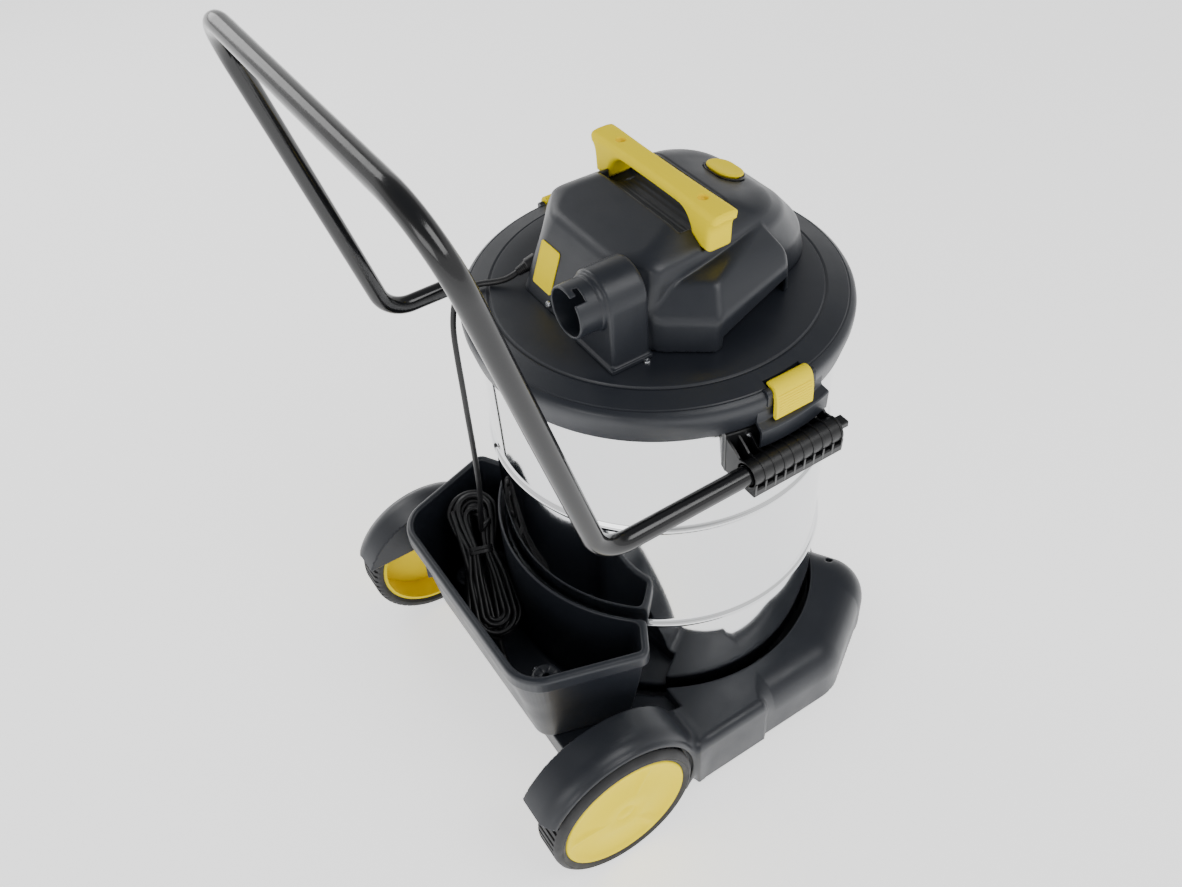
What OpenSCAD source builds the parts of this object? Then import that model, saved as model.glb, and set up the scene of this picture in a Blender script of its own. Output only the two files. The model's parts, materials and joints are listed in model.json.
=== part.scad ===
// Wet and dry shop vacuum: stainless drum on a four-wheeled chassis, lift-off motor head,
// bent-tube push handle and a rear tray that holds the mains cord.
// Millimetres, +Z up, -Y front (hose inlet, casters), +Y rear (tray, push handle).

/* [Drum] */
// Outside radius of the stainless drum
drum_r = 204.2; // [203.8:0.1:204.4]
// Thickness of the drum's sheet
drum_wall = 1.2; // [0.8:0.1:1.6]
// Height of the drum's bottom above the floor
drum_z0 = 100; // [100:1:100]
// Height of the drum's rim above the floor
drum_z1 = 604; // [602:0.5:604]
// Heights of the two stiffening beads
bead_z = [266, 436]; // [250:1:450]
// Radius of a bead's round section
bead_r = 4.5; // [3:0.5:5]

/* [Lid] */
// Outside radius of the lid
lid_r = 220; // [220:0.5:221]
// Height of the lid's deck, which carries the motor head
deck_z = 630; // [630:1:632]
// Lower edge of the lid's skirt
skirt_z = 580.5; // [580:0.5:584]

/* [Push handle] */
// Outside radius of the handle tube
tube_r = 11; // [10.5:0.1:11]
// Wall of the handle tube
tube_wall = 1.5; // [1.2:0.1:2]
// Half the spacing of the handle's two sides
push_x = 235.3; // [235:0.1:236]
// Height of the crossbar's centre line
push_top_z = 955; // [900:1:1000]
// Distance of the crossbar behind the drum's axis
push_top_y = 344; // [340:1:350]

/* [Wheels] */
// Rear wheel radius
wheel_r = 100; // [98:0.5:101]
// Distance of the rear axle behind the drum's axis
axle_y = 247; // [246:0.5:248]
// Outer face of the rear wheels from the middle
wheel_x = 273; // [272:0.5:274]
// Width of a rear wheel
wheel_w = 49; // [46:0.5:49]
// Axle radius
axle_r = 8; // [7:0.5:8]
// Caster wheel radius
caster_r = 25; // [24:0.5:25]

/* [Ports] */
// Bore radius of the blower outlet
outlet_r = 25; // [24:0.5:25]
// Bore radius of the hose inlet
inlet_r = 29; // [28:0.5:29]

/* [Cord] */
// Cord diameter
cord_d = 7; // [6:0.5:7]

/* [Hidden] */

$fn = 96;
slate = "#3b4048";
black = "#1c1d20";
yellow = "#f4d414";
steel = "#c8cbd0";
sides = [-1, 1];

// The whole object is centred on its plan box: from the hose inlet's mouth to the crossbar
inlet_reach = 242;
mid_y = (push_top_y + tube_r - inlet_reach) / 2;

// Chassis
skin = 4;
skirt_bottom = 50;
chassis_top = 135;
well_r = 209;
well_floor = 4;
tray_seat_z = 116;
tray_seat_y = 118;
tray_seat_x = 206;
rear_bottom = 82;
ear = [155, -168];
ear_r = 55;
shoulder = [200, -80];
shoulder_r = 62;
side_x = 268;
pocket_x = 216;
pocket_y = 133;
fender_r = 117;
fender_x = 256;
fender_clear = 3.5;
stem_r = 5.5;
caster_trail = 20;
caster_w = 20;
fork_top = 71;
run_clear = 0.05;

// Rear tray
tray_rim_z = 283;
tray_wall = 3;
tray_front_r = 212;
peg = [100, 248];
peg_r = 20;
peg_top = 185;

// Push handle
push_low_z = 544;
push_low_y = 233;
push_end_y = -46;
bend_low_r = 42;
bend_top_r = 68;

// Head
hump_top = 740;
outlet_x = -75.5;
outlet_z = 700;
outlet_reach = 160;
latch_y = -10;
latch_w = 48;
pin_x = 214.5;
pin_z = 619;
pin_r = 2;
motor_z = 541.5;
switch_tilt = 14;
switch_pos = [0, -92, 725];
grip_half = 110;
foot_z = 718.2;
inlet_z = 500;
elbow_r = inlet_r - 2;

// Cord route from the gland over the lid's edge and down into the tray, relative to the drum's axis
cord_route = [
    [85, 127, 642], [86, 134, 639.3], [89, 143, 636.5], [95, 153, 634.6], [104, 166, 632.5],
    [110, 181, 629], [111, 193, 620], [109, 200, 606], [104, 206, 585], [97, 210, 555],
    [90, 213, 515], [86, 215, 470], [84, 216, 420], [84, 217, 370], [87, 218, 330],
    [92, 219.5, 300], [98, 220.5, 259.6]];
// Route of the cord's last stretch, from the hank to the plug on the tray's floor
tail_route = [
    [3.4, 260.6, 156], [-4, 262.5, 147], [-12, 264, 137], [-22, 265, 130.5], [-32, 265.5, 128]];
hank_top = [158.4, 204.6, 277];
hank_end = [3.4, 260.6, 156];
hank_w = 60;
hank_t = 40;

module on_axis() translate([0, -mid_y, 0]) children();

// Points of an arc about c, from angle a0 to a1
function arc(c, r, a0, a1, n) =
    [for (i = [0 : n]) let (a = a0 + (a1 - a0) * i / n) [c[0] + r * cos(a), c[1] + r * sin(a)]];
function mirrored(p) = [for (i = [len(p) - 1 : -1 : 0]) [-p[i][0], p[i][1]]];

// Right half of the chassis plan, drawn d inside its outer face
function chassis_half(d) = concat(
    arc([0, 0], 224 + d, 270, 297, 8),
    arc(ear, ear_r - d, 245, 340, 16),
    arc(shoulder, shoulder_r - d, -30, 0, 6),
    [[shoulder[0] + shoulder_r - d, 22 + d], [side_x - d, 26 + d], [side_x - d, pocket_y],
     [pocket_x - d, pocket_y + d], [pocket_x - d, 250 - d], [pocket_x - 18 - d, 268 - d]]);
module chassis_plan(d) polygon(concat(chassis_half(d), mirrored(chassis_half(d))));

module along_x(x0, x1, r) translate([x0, 0, 0]) rotate([0, 90, 0]) cylinder(r = r, h = x1 - x0);
module box(p, q) translate(p) cube(q - p);

// Left is -X, right is +X
module each_side() for (s = sides) scale_side(s) children();
module scale_side(s) mirror([s < 0 ? 1 : 0, 0, 0]) children();

module chassis_hollow() difference() {
    translate([0, 0, skirt_bottom - 1])
        linear_extrude(chassis_top - skin - skirt_bottom + 1) chassis_plan(skin);
    translate([0, 0, drum_z0 - well_floor]) cylinder(r = well_r + skin, h = 60);
    box([-tray_seat_x - skin, tray_seat_y - skin, tray_seat_z - skin],
        [tray_seat_x + skin, 400, 200]);
    each_side() {
        translate([ear[0], ear[1], fork_top + 1]) cylinder(r = 12, h = 80);
        translate([0, axle_y, wheel_r]) along_x(pocket_x - 30, pocket_x, 16);
    }
}

// Mudguard over one rear wheel, open on its outer side
module fender() difference() {
    translate([0, axle_y, wheel_r]) along_x(pocket_x - skin, fender_x, fender_r);
    box([pocket_x - skin - 1, axle_y - 1, -50], [fender_x + 1, axle_y + 200, wheel_r + 52]);
    box([pocket_x - skin - 1, axle_y - 200, -50], [fender_x + 1, axle_y + 1, skirt_bottom]);
}

module chassis() color(slate) on_axis() difference() {
    union() {
        difference() {
            translate([0, 0, skirt_bottom]) linear_extrude(chassis_top - skirt_bottom) chassis_plan(0);
            chassis_hollow();
        }
        each_side() fender();
    }
    translate([0, 0, drum_z0]) cylinder(r = well_r, h = 60);
    box([-tray_seat_x, tray_seat_y, tray_seat_z], [tray_seat_x, 400, 300]);
    box([-pocket_x + skin, 200, 0], [pocket_x - skin, 400, rear_bottom]);
    each_side() {
        translate([0, axle_y, wheel_r]) {
            along_x(pocket_x, wheel_x + 10, fender_r - fender_clear);
            along_x(pocket_x - 40, pocket_x + 10, axle_r + run_clear);
        }
        translate([ear[0], ear[1], 0]) cylinder(r = stem_r + run_clear, h = 126);
        translate([135, -194, 100]) cylinder(r = 3.5, h = 60);
    }
}

module rear_axle() color(steel) on_axis()
    translate([0, axle_y, wheel_r]) along_x(-wheel_x + 12, wheel_x - 12, axle_r);

module wheel_washers() color(steel) on_axis() each_side() translate([0, axle_y, wheel_r])
    difference() {
        along_x(pocket_x + 0.5, pocket_x + 2.5, 15);
        along_x(pocket_x, pocket_x + 3, axle_r + 0.3);
    }

// A solid of revolution about the rear axle; profile x is the radius, y the distance from the middle
module wheel_turned(s, profile) on_axis() scale_side(s) translate([0, axle_y, wheel_r])
    rotate([0, 90, 0]) rotate_extrude($fn = 120) polygon(profile);

disc_r = 86;
module tyre(s) color(black) wheel_turned(s, concat(
    [[disc_r, wheel_x - wheel_w + 3], [disc_r + 5, wheel_x - wheel_w]],
    [[wheel_r - 6, wheel_x - wheel_w], [wheel_r - 2, wheel_x - wheel_w + 2],
     [wheel_r, wheel_x - wheel_w + 6], [wheel_r, wheel_x - 6], [wheel_r - 2, wheel_x - 2],
     [wheel_r - 6, wheel_x]],
    [[disc_r + 3, wheel_x], [disc_r, wheel_x - 3]]));

module wheel_disc(s) color(yellow) difference() {
    wheel_turned(s, [[0, wheel_x - 2], [40, wheel_x - 2], [60, wheel_x - 5], [disc_r - 3, wheel_x - 2],
        [disc_r - 0.2, wheel_x - 3.5], [disc_r - 0.2, wheel_x - wheel_w + 4],
        [disc_r - 5, wheel_x - wheel_w + 4], [disc_r - 5, wheel_x - 9], [17, wheel_x - 9],
        [17, pocket_x + 3.3], [0, pocket_x + 3.3]]);
    on_axis() scale_side(s) translate([0, axle_y, wheel_r])
        along_x(pocket_x, wheel_x - 11, axle_r + run_clear);
}

// Front casters, trailing towards the rear
module at_caster(s) on_axis() translate([s * ear[0], ear[1], 0]) children();
module at_caster_axle(s) at_caster(s) translate([0, caster_trail, caster_r]) children();

module caster_fork(s) color(black) {
    at_caster(s) translate([0, 0, fork_top - 3]) cylinder(r = stem_r, h = 122 - fork_top + 3);
    difference() {
        at_caster(s) {
            translate([0, 0, fork_top - 8]) cylinder(r = 17, h = 8);
            for (e = sides) translate([e * (caster_w / 2 + 2.5), 0, 0])
                rotate([0, -90, 0]) translate([0, 0, -1.5]) linear_extrude(3)
                    polygon([[fork_top - 2, -14], [fork_top - 2, 14], [caster_r - 7, caster_trail + 7],
                        [caster_r - 7, caster_trail - 7]]);
            box([-caster_w / 2 - 4, -14, fork_top - 6], [caster_w / 2 + 4, 14, fork_top]);
        }
        at_caster_axle(s) along_x(-30, 30, 3.05);
    }
}

module caster_axle(s) color(steel) at_caster_axle(s) along_x(-caster_w / 2 - 5, caster_w / 2 + 5, 3);

module caster_wheel(s) color(black) at_caster_axle(s) rotate([0, 90, 0]) rotate_extrude()
    polygon([[3.05, -caster_w / 2 + 0.3], [9, -caster_w / 2 + 0.3], [11, -caster_w / 2 + 2],
        [20, -caster_w / 2 + 2], [caster_r - 2, -caster_w / 2], [caster_r, -caster_w / 2 + 3],
        [caster_r, caster_w / 2 - 3], [caster_r - 2, caster_w / 2], [20, caster_w / 2 - 2],
        [11, caster_w / 2 - 2], [9, caster_w / 2 - 0.3], [3.05, caster_w / 2 - 0.3]]);

// Drum
module drum_shell() color(steel) on_axis() difference() {
    rotate_extrude($fn = 180) polygon(concat(
        [[drum_r - 6, drum_z0 + drum_wall], [drum_r - 6, drum_z0], [drum_r - 2, drum_z0 + 2],
         [drum_r, drum_z0 + 6]],
        arc([drum_r, bead_z[0]], bead_r, -90, 90, 8),
        arc([drum_r, bead_z[1]], bead_r, -90, 90, 8),
        [[drum_r, drum_z1 - 8]], arc([drum_r + 0.3, drum_z1 - 3.5], 3.5, -70, 160, 12),
        [[drum_r - drum_wall, drum_z1 - 8], [drum_r - drum_wall, drum_z0 + 6],
         [drum_r - 3, drum_z0 + 3]]));
    translate([0, 0, inlet_z]) rotate([90, 0, 0]) cylinder(r = inlet_r + 3.6, h = 300);
}

// Flat bottom, seamed to the shell's turned-in edge
module drum_base() color(steel) on_axis() translate([0, 0, drum_z0])
    cylinder(r = drum_r - 6.1, h = drum_wall, $fn = 180);

module drum_screws() color(steel) on_axis() for (a = [45 : 90 : 315]) rotate([0, 0, a])
    translate([160, 0, drum_z0 + drum_wall]) cylinder(r = 6, h = 3);

// Hose inlet on the front of the drum
module front_ring(r0, r1, z0, z1, half_angle) rotate([0, 0, 270 - half_angle])
    rotate_extrude(angle = 2 * half_angle) polygon([[r0, z0], [r1, z0], [r1, z1], [r0, z1]]);
module toward_front(y0, y1, z, r) translate([0, -y0, z]) rotate([90, 0, 0])
    cylinder(r = r, h = y1 - y0);

module inlet_housing() color(black) on_axis() difference() {
    union() {
        front_ring(drum_r + 2.3, drum_r + 6.5, inlet_z - 55, inlet_z + 55, 16);
        toward_front(drum_r - 14, inlet_reach, inlet_z, inlet_r + 3.5);
        toward_front(inlet_reach - 6, inlet_reach, inlet_z, inlet_r + 6);
    }
    toward_front(150, 300, inlet_z, inlet_r);
}

module inlet_gasket() color(black) on_axis() difference() {
    front_ring(drum_r + 0.3, drum_r + 2.3, inlet_z - 50, inlet_z + 50, 14);
    toward_front(150, 300, inlet_z, inlet_r + 3.6);
}

module inlet_screws() color(steel) on_axis() for (a = [-13, 13], dz = [-46, 46])
    rotate([0, 0, a]) toward_front(drum_r + 6.5, drum_r + 9.5, inlet_z + dz, 5);

// Turns the incoming air down and sideways into the drum
module inlet_elbow() color(black) on_axis() difference() {
    union() {
        toward_front(130, drum_r - 14.3, inlet_z, inlet_r + 3.5);
        translate([0, -130, inlet_z]) sphere(r = inlet_r + 3.5);
        translate([0, -130, inlet_z - 45]) cylinder(r = inlet_r + 3.5, h = 45);
    }
    toward_front(130, 300, inlet_z, elbow_r);
    translate([0, -130, inlet_z]) sphere(r = elbow_r);
    translate([0, -130, inlet_z - 46]) cylinder(r = elbow_r, h = 46);
}

// Rear tray: a tapered bin whose front wall follows the drum
module tray_plan(d) hull() each_side() {
    translate([122, 260]) circle(r = 50 - d, $fn = 48);
    translate([188 - d, 168]) circle(r = 15, $fn = 24);
    translate([150 - d, 140]) circle(r = 10, $fn = 16);
}
module tray_slice(z, d) translate([0, 0, z]) linear_extrude(1) tray_plan(d);

module rear_tray() color(slate) on_axis() difference() {
    union() {
        hull() {
            tray_slice(tray_seat_z, 28);
            tray_slice(262, 6);
        }
        hull() {
            tray_slice(261, 0);
            tray_slice(tray_rim_z - 4, 0);
            tray_slice(tray_rim_z - 1, 3);
        }
    }
    difference() {
        hull() {
            tray_slice(tray_seat_z + tray_wall, 31.5);
            tray_slice(tray_rim_z + 1, 9);
        }
        cylinder(r = tray_front_r + tray_wall, h = 400);
    }
    cylinder(r = tray_front_r, h = 400);
    box([-300, -50, 0], [300, 126, 400]);
}

module accessory_pegs() color(slate) on_axis() each_side()
    translate([peg[0], peg[1], tray_seat_z + tray_wall]) difference() {
        rotate_extrude() polygon([[0, 0], [peg_r + 3, 0], [peg_r + 3, 3], [peg_r, 6],
            [peg_r - 1, peg_top - 125], [peg_r - 4, peg_top - 119], [0, peg_top - 119]]);
        translate([0, 0, 40]) cylinder(r = 4.5, h = 60);
    }

module tray_screws() color(steel) on_axis() for (x = [-45, 45])
    translate([x, 236, tray_seat_z + tray_wall]) cylinder(r = 6, h = 3);

// Brackets that hold the push handle against the drum, under the lid's edge
bracket_y0 = -60;
bracket_y1 = 57;
bracket_z0 = 522;
sleeve_r = 14.2;
rib_n = 10;
module side_ring(r0, r1, z0, z1, y0, y1)
    rotate([0, 0, asin(y0 / r0)]) rotate_extrude(angle = asin(y1 / r0) - asin(y0 / r0))
        polygon([[r0, z0], [r1, z0], [r1, z1], [r0, z1]]);

module bracket(s) color(black) on_axis() scale_side(s) difference() {
    union() {
        side_ring(drum_r + 0.3, 210, bracket_z0, 574, bracket_y0, bracket_y1);
        translate([push_x, bracket_y0, push_low_z]) rotate([-90, 0, 0])
            cylinder(r = sleeve_r, h = bracket_y1 - bracket_y0);
        box([206, bracket_y0, bracket_z0], [250, bracket_y1, bracket_z0 + 11]);
        for (i = [0 : rib_n - 1]) let (y = bracket_y0 + (bracket_y1 - bracket_y0 - 2.5) * i / (rib_n - 1))
            translate([0, y + 2.5, 0]) rotate([90, 0, 0]) linear_extrude(2.5)
                polygon([[207, bracket_z0], [250, bracket_z0], [251, 548], [243, 556], [216, 556],
                    [208.5, 570], [207, 570]]);
        box([226, bracket_y0 - 16, 540], [240, bracket_y0 + 1, 548]);
    }
    translate([push_x, push_end_y - 1, push_low_z]) rotate([-90, 0, 0])
        cylinder(r = tube_r + 0.06, h = 200);
    cylinder(r = drum_r + 0.3, h = 700);
    at_bracket_screws() cylinder(r = 3.6, h = 60);
}

module at_bracket_screws() for (a = [-9, 9]) rotate([0, 0, a]) translate([210, 0, 566])
    rotate([0, 90, 0]) children();
module bracket_screws() color(steel) on_axis() each_side() at_bracket_screws()
    cylinder(r = 3.2, h = 2.2);

// A tube bent in space: straight runs and part-torus bends, all of true round section
function unit(v) = v / norm(v);
function bend_angle(a, b, c) = acos(unit(b - a) * unit(c - b));
function trim(a, b, c, r) = r * tan(bend_angle(a, b, c) / 2);

module run(p, q, r) {
    d = q - p;
    translate(p) rotate([0, acos(d[2] / norm(d)), atan2(d[1], d[0])]) cylinder(r = r, h = norm(d));
}

module bend(a, b, c, bend_r, r) {
    u = unit(b - a);
    w = unit(c - b);
    n = unit(cross(u, w));
    start = b - u * trim(a, b, c, bend_r);
    m = cross(u, n);
    centre = start - m * bend_r;
    multmatrix([[m[0], u[0], n[0], centre[0]], [m[1], u[1], n[1], centre[1]],
                [m[2], u[2], n[2], centre[2]], [0, 0, 0, 1]])
        rotate_extrude(angle = bend_angle(a, b, c)) translate([bend_r, 0]) circle(r = r);
}

push_path = [[-push_x, push_end_y, push_low_z], [-push_x, push_low_y, push_low_z],
    [-push_x, push_top_y, push_top_z], [push_x, push_top_y, push_top_z],
    [push_x, push_low_y, push_low_z], [push_x, push_end_y, push_low_z]];
// A bend is a hair thinner than the straight runs, which lap into it
weld_lap = 0.4;
weld_step = 0.03;
push_bends = [0, bend_low_r, bend_top_r, bend_top_r, bend_low_r, 0];

module bent_rod(r, grow) {
    n = len(push_path) - 1;
    for (i = [0 : n - 1]) {
        a = push_path[i];
        b = push_path[i + 1];
        u = unit(b - a);
        t0 = i == 0 ? -grow : trim(push_path[i - 1], a, b, push_bends[i]) - weld_lap;
        t1 = i == n - 1 ? -grow : trim(a, b, push_path[i + 2], push_bends[i + 1]) - weld_lap;
        run(a + u * t0, b - u * t1, r);
        if (i < n - 1) bend(a, b, push_path[i + 2], push_bends[i + 1], r - weld_step);
    }
}

module push_handle() color(black) on_axis() difference() {
    bent_rod(tube_r, 0);
    bent_rod(tube_r - tube_wall, 1);
}

module tube_plugs() color(black) on_axis() each_side()
    translate([push_x, push_end_y + 0.3, push_low_z]) rotate([-90, 0, 0])
        cylinder(r = tube_r - tube_wall - 0.1, h = 14);

// Lid with the motor bowl hanging into the drum
notch_half = latch_w / 2 + 1;
module lid() color(slate) on_axis() difference() {
    union() {
        rotate_extrude($fn = 180) polygon([[24, motor_z], [80, motor_z], [80, deck_z],
            [184, deck_z], [186, deck_z - 2.5], [212, deck_z - 7], [218, deck_z - 10.5],
            [lid_r, deck_z - 14.5], [lid_r - 0.5, 606], [213.5, skirt_z], [210.3, skirt_z],
            [209.6, 612], [198.6, 612], [198.6, 588], [195.6, 588], [195.6, deck_z - 6],
            [84, deck_z - 3], [83.5, motor_z - 3.5], [24, motor_z - 3.5]]);
        each_side() {
            rotate([0, 0, -16]) rotate_extrude(angle = 24) polygon([[211.5, 603], [218.5, 603],
                [218.5, 587], [228.5, 583], [227.5, 559.5], [224.8, 559.5], [225.2, 579],
                [212.5, 586]]);
            for (e = sides) translate([0, latch_y + e * (notch_half + 3), 0])
                box([210.6, -3, 606], [220.5, 3, 624.5]);
        }
    }
    each_side() {
        box([202, latch_y - notch_half, 613], [240, latch_y + notch_half, 640]);
        box([218.8, latch_y - notch_half, 588], [223, latch_y + notch_half, 614]);
        translate([pin_x, latch_y, pin_z]) rotate([90, 0, 0])
            cylinder(r = pin_r + 0.03, h = latch_w + 12, center = true);
    }
}

module lid_seal() color(black) on_axis() rotate_extrude($fn = 180)
    polygon([[198.9, 612], [198.9, 604.4], [209.2, 604.4], [209.2, 612]]);

// Motor cover: a tapering hump with a rounded nose, outlined at five heights
module hump_slice(z, d, rear_x, rear_y, side_x, side_y, nose) translate([0, 0, z])
    linear_extrude(0.1) hull() each_side() {
        polygon([[0, rear_y - d], [rear_x - d, rear_y - d], [side_x - d, side_y - d],
            [side_x - d, 0], [0, 0]]);
        translate([nose[0], nose[1]]) circle(r = nose[2] - d, $fn = 48);
    }
module hump(d) hull() {
    hump_slice(deck_z, d, 72, 128, 104, 85, [0, -100, 85]);
    hump_slice(665, d, 67, 115.5, 103, 81, [10, -92, 78]);
    hump_slice(705, d, 60, 101, 101, 71, [30, -72, 60]);
    hump_slice(722 - d, d, 56, 94, 97, 65, [38, -62, 46]);
    hump_slice(hump_top - 0.1 - d, d, 65, 26, 70, 18, [48, -28, 20]);
}
pod_plan = [[95, 84], [109, 77], [143, 33], [147, 22], [124, -83], [98, -112], [80, -118]];
module pod(d) hull() {
    translate([0, 0, 634 + d]) linear_extrude(37 - 2 * d) offset(delta = -d) polygon(pod_plan);
    translate([0, 0, 694 - d]) linear_extrude(6) offset(delta = -d)
        polygon([[84, 40], [102, 39], [126, 12], [113, -80], [84, -92]]);
    box([80, -78, 708 - d], [86, -60, 714 - d]);
}
module finger_recess(d) translate([-72 - d, -12, 757]) rotate([0, 90, 0])
    cylinder(r = 40 + d, h = 144 + 2 * d);

module head_cover() color(slate) on_axis() difference() {
    union() {
        hump(0);
        each_side() {
            pod(0);
            box([80, -28, 690], [105, 9, 718]);
        }
    }
    difference() {
        hump(3);
        finger_recess(3);
    }
    translate([0, 0, deck_z - 1]) linear_extrude(1.2) hull() each_side()
        translate([60, 0]) circle(r = 40);
    each_side() difference() {
        pod(3);
        box([0, -200, 0], [90, 200, 800]);
    }
    finger_recess(0);
    each_side() box([100, -96, deck_z - 1], [150, 22, 640]);
    each_side() box([66, -25.3, foot_z - 0.3], [113, 8.3, 760]);
    translate(switch_pos) rotate([switch_tilt, 0, 0]) {
        translate([0, 0, -8]) oval(42, 30, 20);
        translate([0, 0, 0.3]) oval(50.6, 38.6, 20);
    }
    translate([outlet_x, 84.3, outlet_z]) rotate([-90, 0, 0]) cylinder(r = outlet_r, h = 60);
}

module exhaust_grilles() color(black) on_axis() each_side() for (i = [0 : 9])
    translate([113, -84 + 10.6 * i, deck_z]) box([0, 0, 0], [7, 2, 9.6]);

// Blower port beside the hump's rear corner, with its hose stub
module blower_housing() color(slate) on_axis() difference() {
    union() {
        translate([outlet_x, 130, 0]) rotate([90, 0, 0]) linear_extrude(45.7) union() {
            translate([0, outlet_z]) circle(r = outlet_r + 8.5);
            translate([-outlet_r - 8.5, deck_z + 0.2])
                square([2 * outlet_r + 17, outlet_z - deck_z]);
        }
        translate([outlet_x, 126, outlet_z]) rotate([-90, 0, 0])
            cylinder(r = outlet_r + 3.2, h = outlet_reach - 126);
    }
    translate([outlet_x, 60, outlet_z]) rotate([-90, 0, 0]) cylinder(r = outlet_r, h = 200);
    hump(-0.3);
    translate([outlet_x, 145, outlet_z]) rotate([0, -35, 0]) box([-4, 0, 20], [4, 20, 40]);
}

module spec_plate() color(yellow) on_axis() translate([39, 114.1, 669]) rotate([19.8, 0, 0])
    box([-18, 0.2, -25], [18, 1, 25]);

module cover_screws() color(steel) on_axis() {
    translate([20, 126.8, 637]) rotate([-90, 0, 0]) cylinder(r = 3, h = 2);
    each_side() translate([114, 92, deck_z]) cylinder(r = 4, h = 2.5);
}

// Carry handle: a flat bar on two flared legs
module carry_handle() color(yellow) on_axis() difference() {
    translate([0, 8, 0]) rotate([90, 0, 0]) linear_extrude(33) polygon(concat(
        [[grip_half - 2, 763], [grip_half, 760], [grip_half - 1, 755]],
        arc([122, 738], 20, 125, 180, 6), [[101, foot_z], [79, foot_z]],
        arc([46, 724], 27, 0, 90, 8),
        mirrored(concat([[grip_half - 2, 763], [grip_half, 760], [grip_half - 1, 755]],
            arc([122, 738], 20, 125, 180, 6), [[101, foot_z], [79, foot_z]],
            arc([46, 724], 27, 0, 90, 8)))));
    each_side() translate([72, -8.5, 755]) cylinder(r = 4.5, h = 20);
}

module handle_screws() color(steel) on_axis() each_side()
    translate([72, -8.5, 755]) cylinder(r = 3.8, h = 4);

module oval(l, w, h) {
    for (e = sides) translate([e * (l - w) / 2, 0, 0]) cylinder(r = w / 2, h = h);
    translate([-(l - w) / 2, -w / 2, 0]) cube([l - w, w, h]);
}
module at_switch() on_axis() translate(switch_pos) rotate([switch_tilt, 0, 0]) children();
module switch_bezel() color(black) at_switch() difference() {
    union() {
        translate([0, 0, 0.6]) oval(50, 38, 3);
        translate([0, 0, -8]) oval(41.6, 29.6, 9);
    }
    translate([0, 0, -5]) oval(38.6, 26.6, 20);
    translate([0, 0, -9]) oval(30, 18, 20);
}
module switch_button() color(yellow) at_switch() {
    translate([0, 0, -1]) oval(38, 26, 8);
}

// Latches: a curled clip on a pin, closing down over the drum's rim
module latch(s) color(yellow) on_axis() scale_side(s)
    translate([0, latch_y + latch_w / 2, 0]) rotate([90, 0, 0]) linear_extrude(latch_w) difference() {
        polygon(concat(arc([pin_x, pin_z], 6, 0, 180, 12), [[209.5, 616]],
            arc([pin_x, pin_z], 4.6, 215, 300, 6),
            [[220.2, 613.5], [220.4, 600], [221, 588.6], [226, 588.6], [226.5, 600],
             [224, 612]]));
        translate([pin_x, pin_z]) circle(r = pin_r + 0.05);
    }
module latch_pins() color(steel) on_axis() each_side() translate([pin_x, latch_y, pin_z])
    rotate([90, 0, 0]) cylinder(r = pin_r, h = latch_w + 11, center = true);

// Motor: fan housing below, wound stator above, one rotor through both
module fan_housing() color(steel) on_axis() rotate_extrude() polygon([[22, motor_z + 0.2],
    [72, motor_z + 0.2], [72, 592], [66, 592], [66, 590], [70, 590], [70, motor_z + 2.2],
    [22, motor_z + 2.2]]);
module motor_stator() color(steel) on_axis() {
    difference() {
        union() {
            translate([0, 0, 618]) cylinder(r = 46, h = 50);
            translate([0, 0, 608]) cylinder(r = 40, h = 70);
        }
        translate([0, 0, 600]) cylinder(r = 25, h = 90);
    }
    difference() {
        translate([0, 0, 592.2]) cylinder(r = 72, h = 3);
        translate([0, 0, 590]) cylinder(r = 6, h = 30);
        for (a = [0 : 45 : 315]) rotate([0, 0, a]) translate([58, 0, 580]) cylinder(r = 8, h = 40);
    }
    for (a = [0 : 90 : 270]) rotate([0, 0, a]) translate([43, 0, 595.2]) cylinder(r = 3, h = 23);
}
module motor_bracket() color(steel) on_axis() difference() {
    union() {
        translate([0, 0, 678.2]) cylinder(r = 40, h = 3);
        translate([0, 0, 681]) cylinder(r = 16, h = 14);
    }
    translate([0, 0, 670]) cylinder(r = 5.05, h = 22);
}
module rotor() color("#b87333") on_axis() {
    translate([0, 0, motor_z + 6]) cylinder(r = 5, h = 691 - motor_z - 6);
    translate([0, 0, 616]) cylinder(r = 24, h = 46);
    translate([0, 0, 664]) cylinder(r = 14, h = 10);
}
module impeller() color(steel) on_axis() difference() {
    union() {
        translate([0, 0, 552]) cylinder(r = 62, h = 2);
        translate([0, 0, 568]) cylinder(r = 62, h = 2);
        translate([0, 0, 552]) cylinder(r = 12, h = 20);
        for (a = [0 : 45 : 315]) rotate([0, 0, a]) translate([36, 0, 553.5])
            box([-16, -1, 0], [25, 1, 15]);
    }
    translate([0, 0, 540]) cylinder(r = 5.01, h = 50);
    difference() {
        translate([0, 0, 551]) cylinder(r = 22, h = 3.5);
        cylinder(r = 12, h = 700);
    }
}

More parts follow.
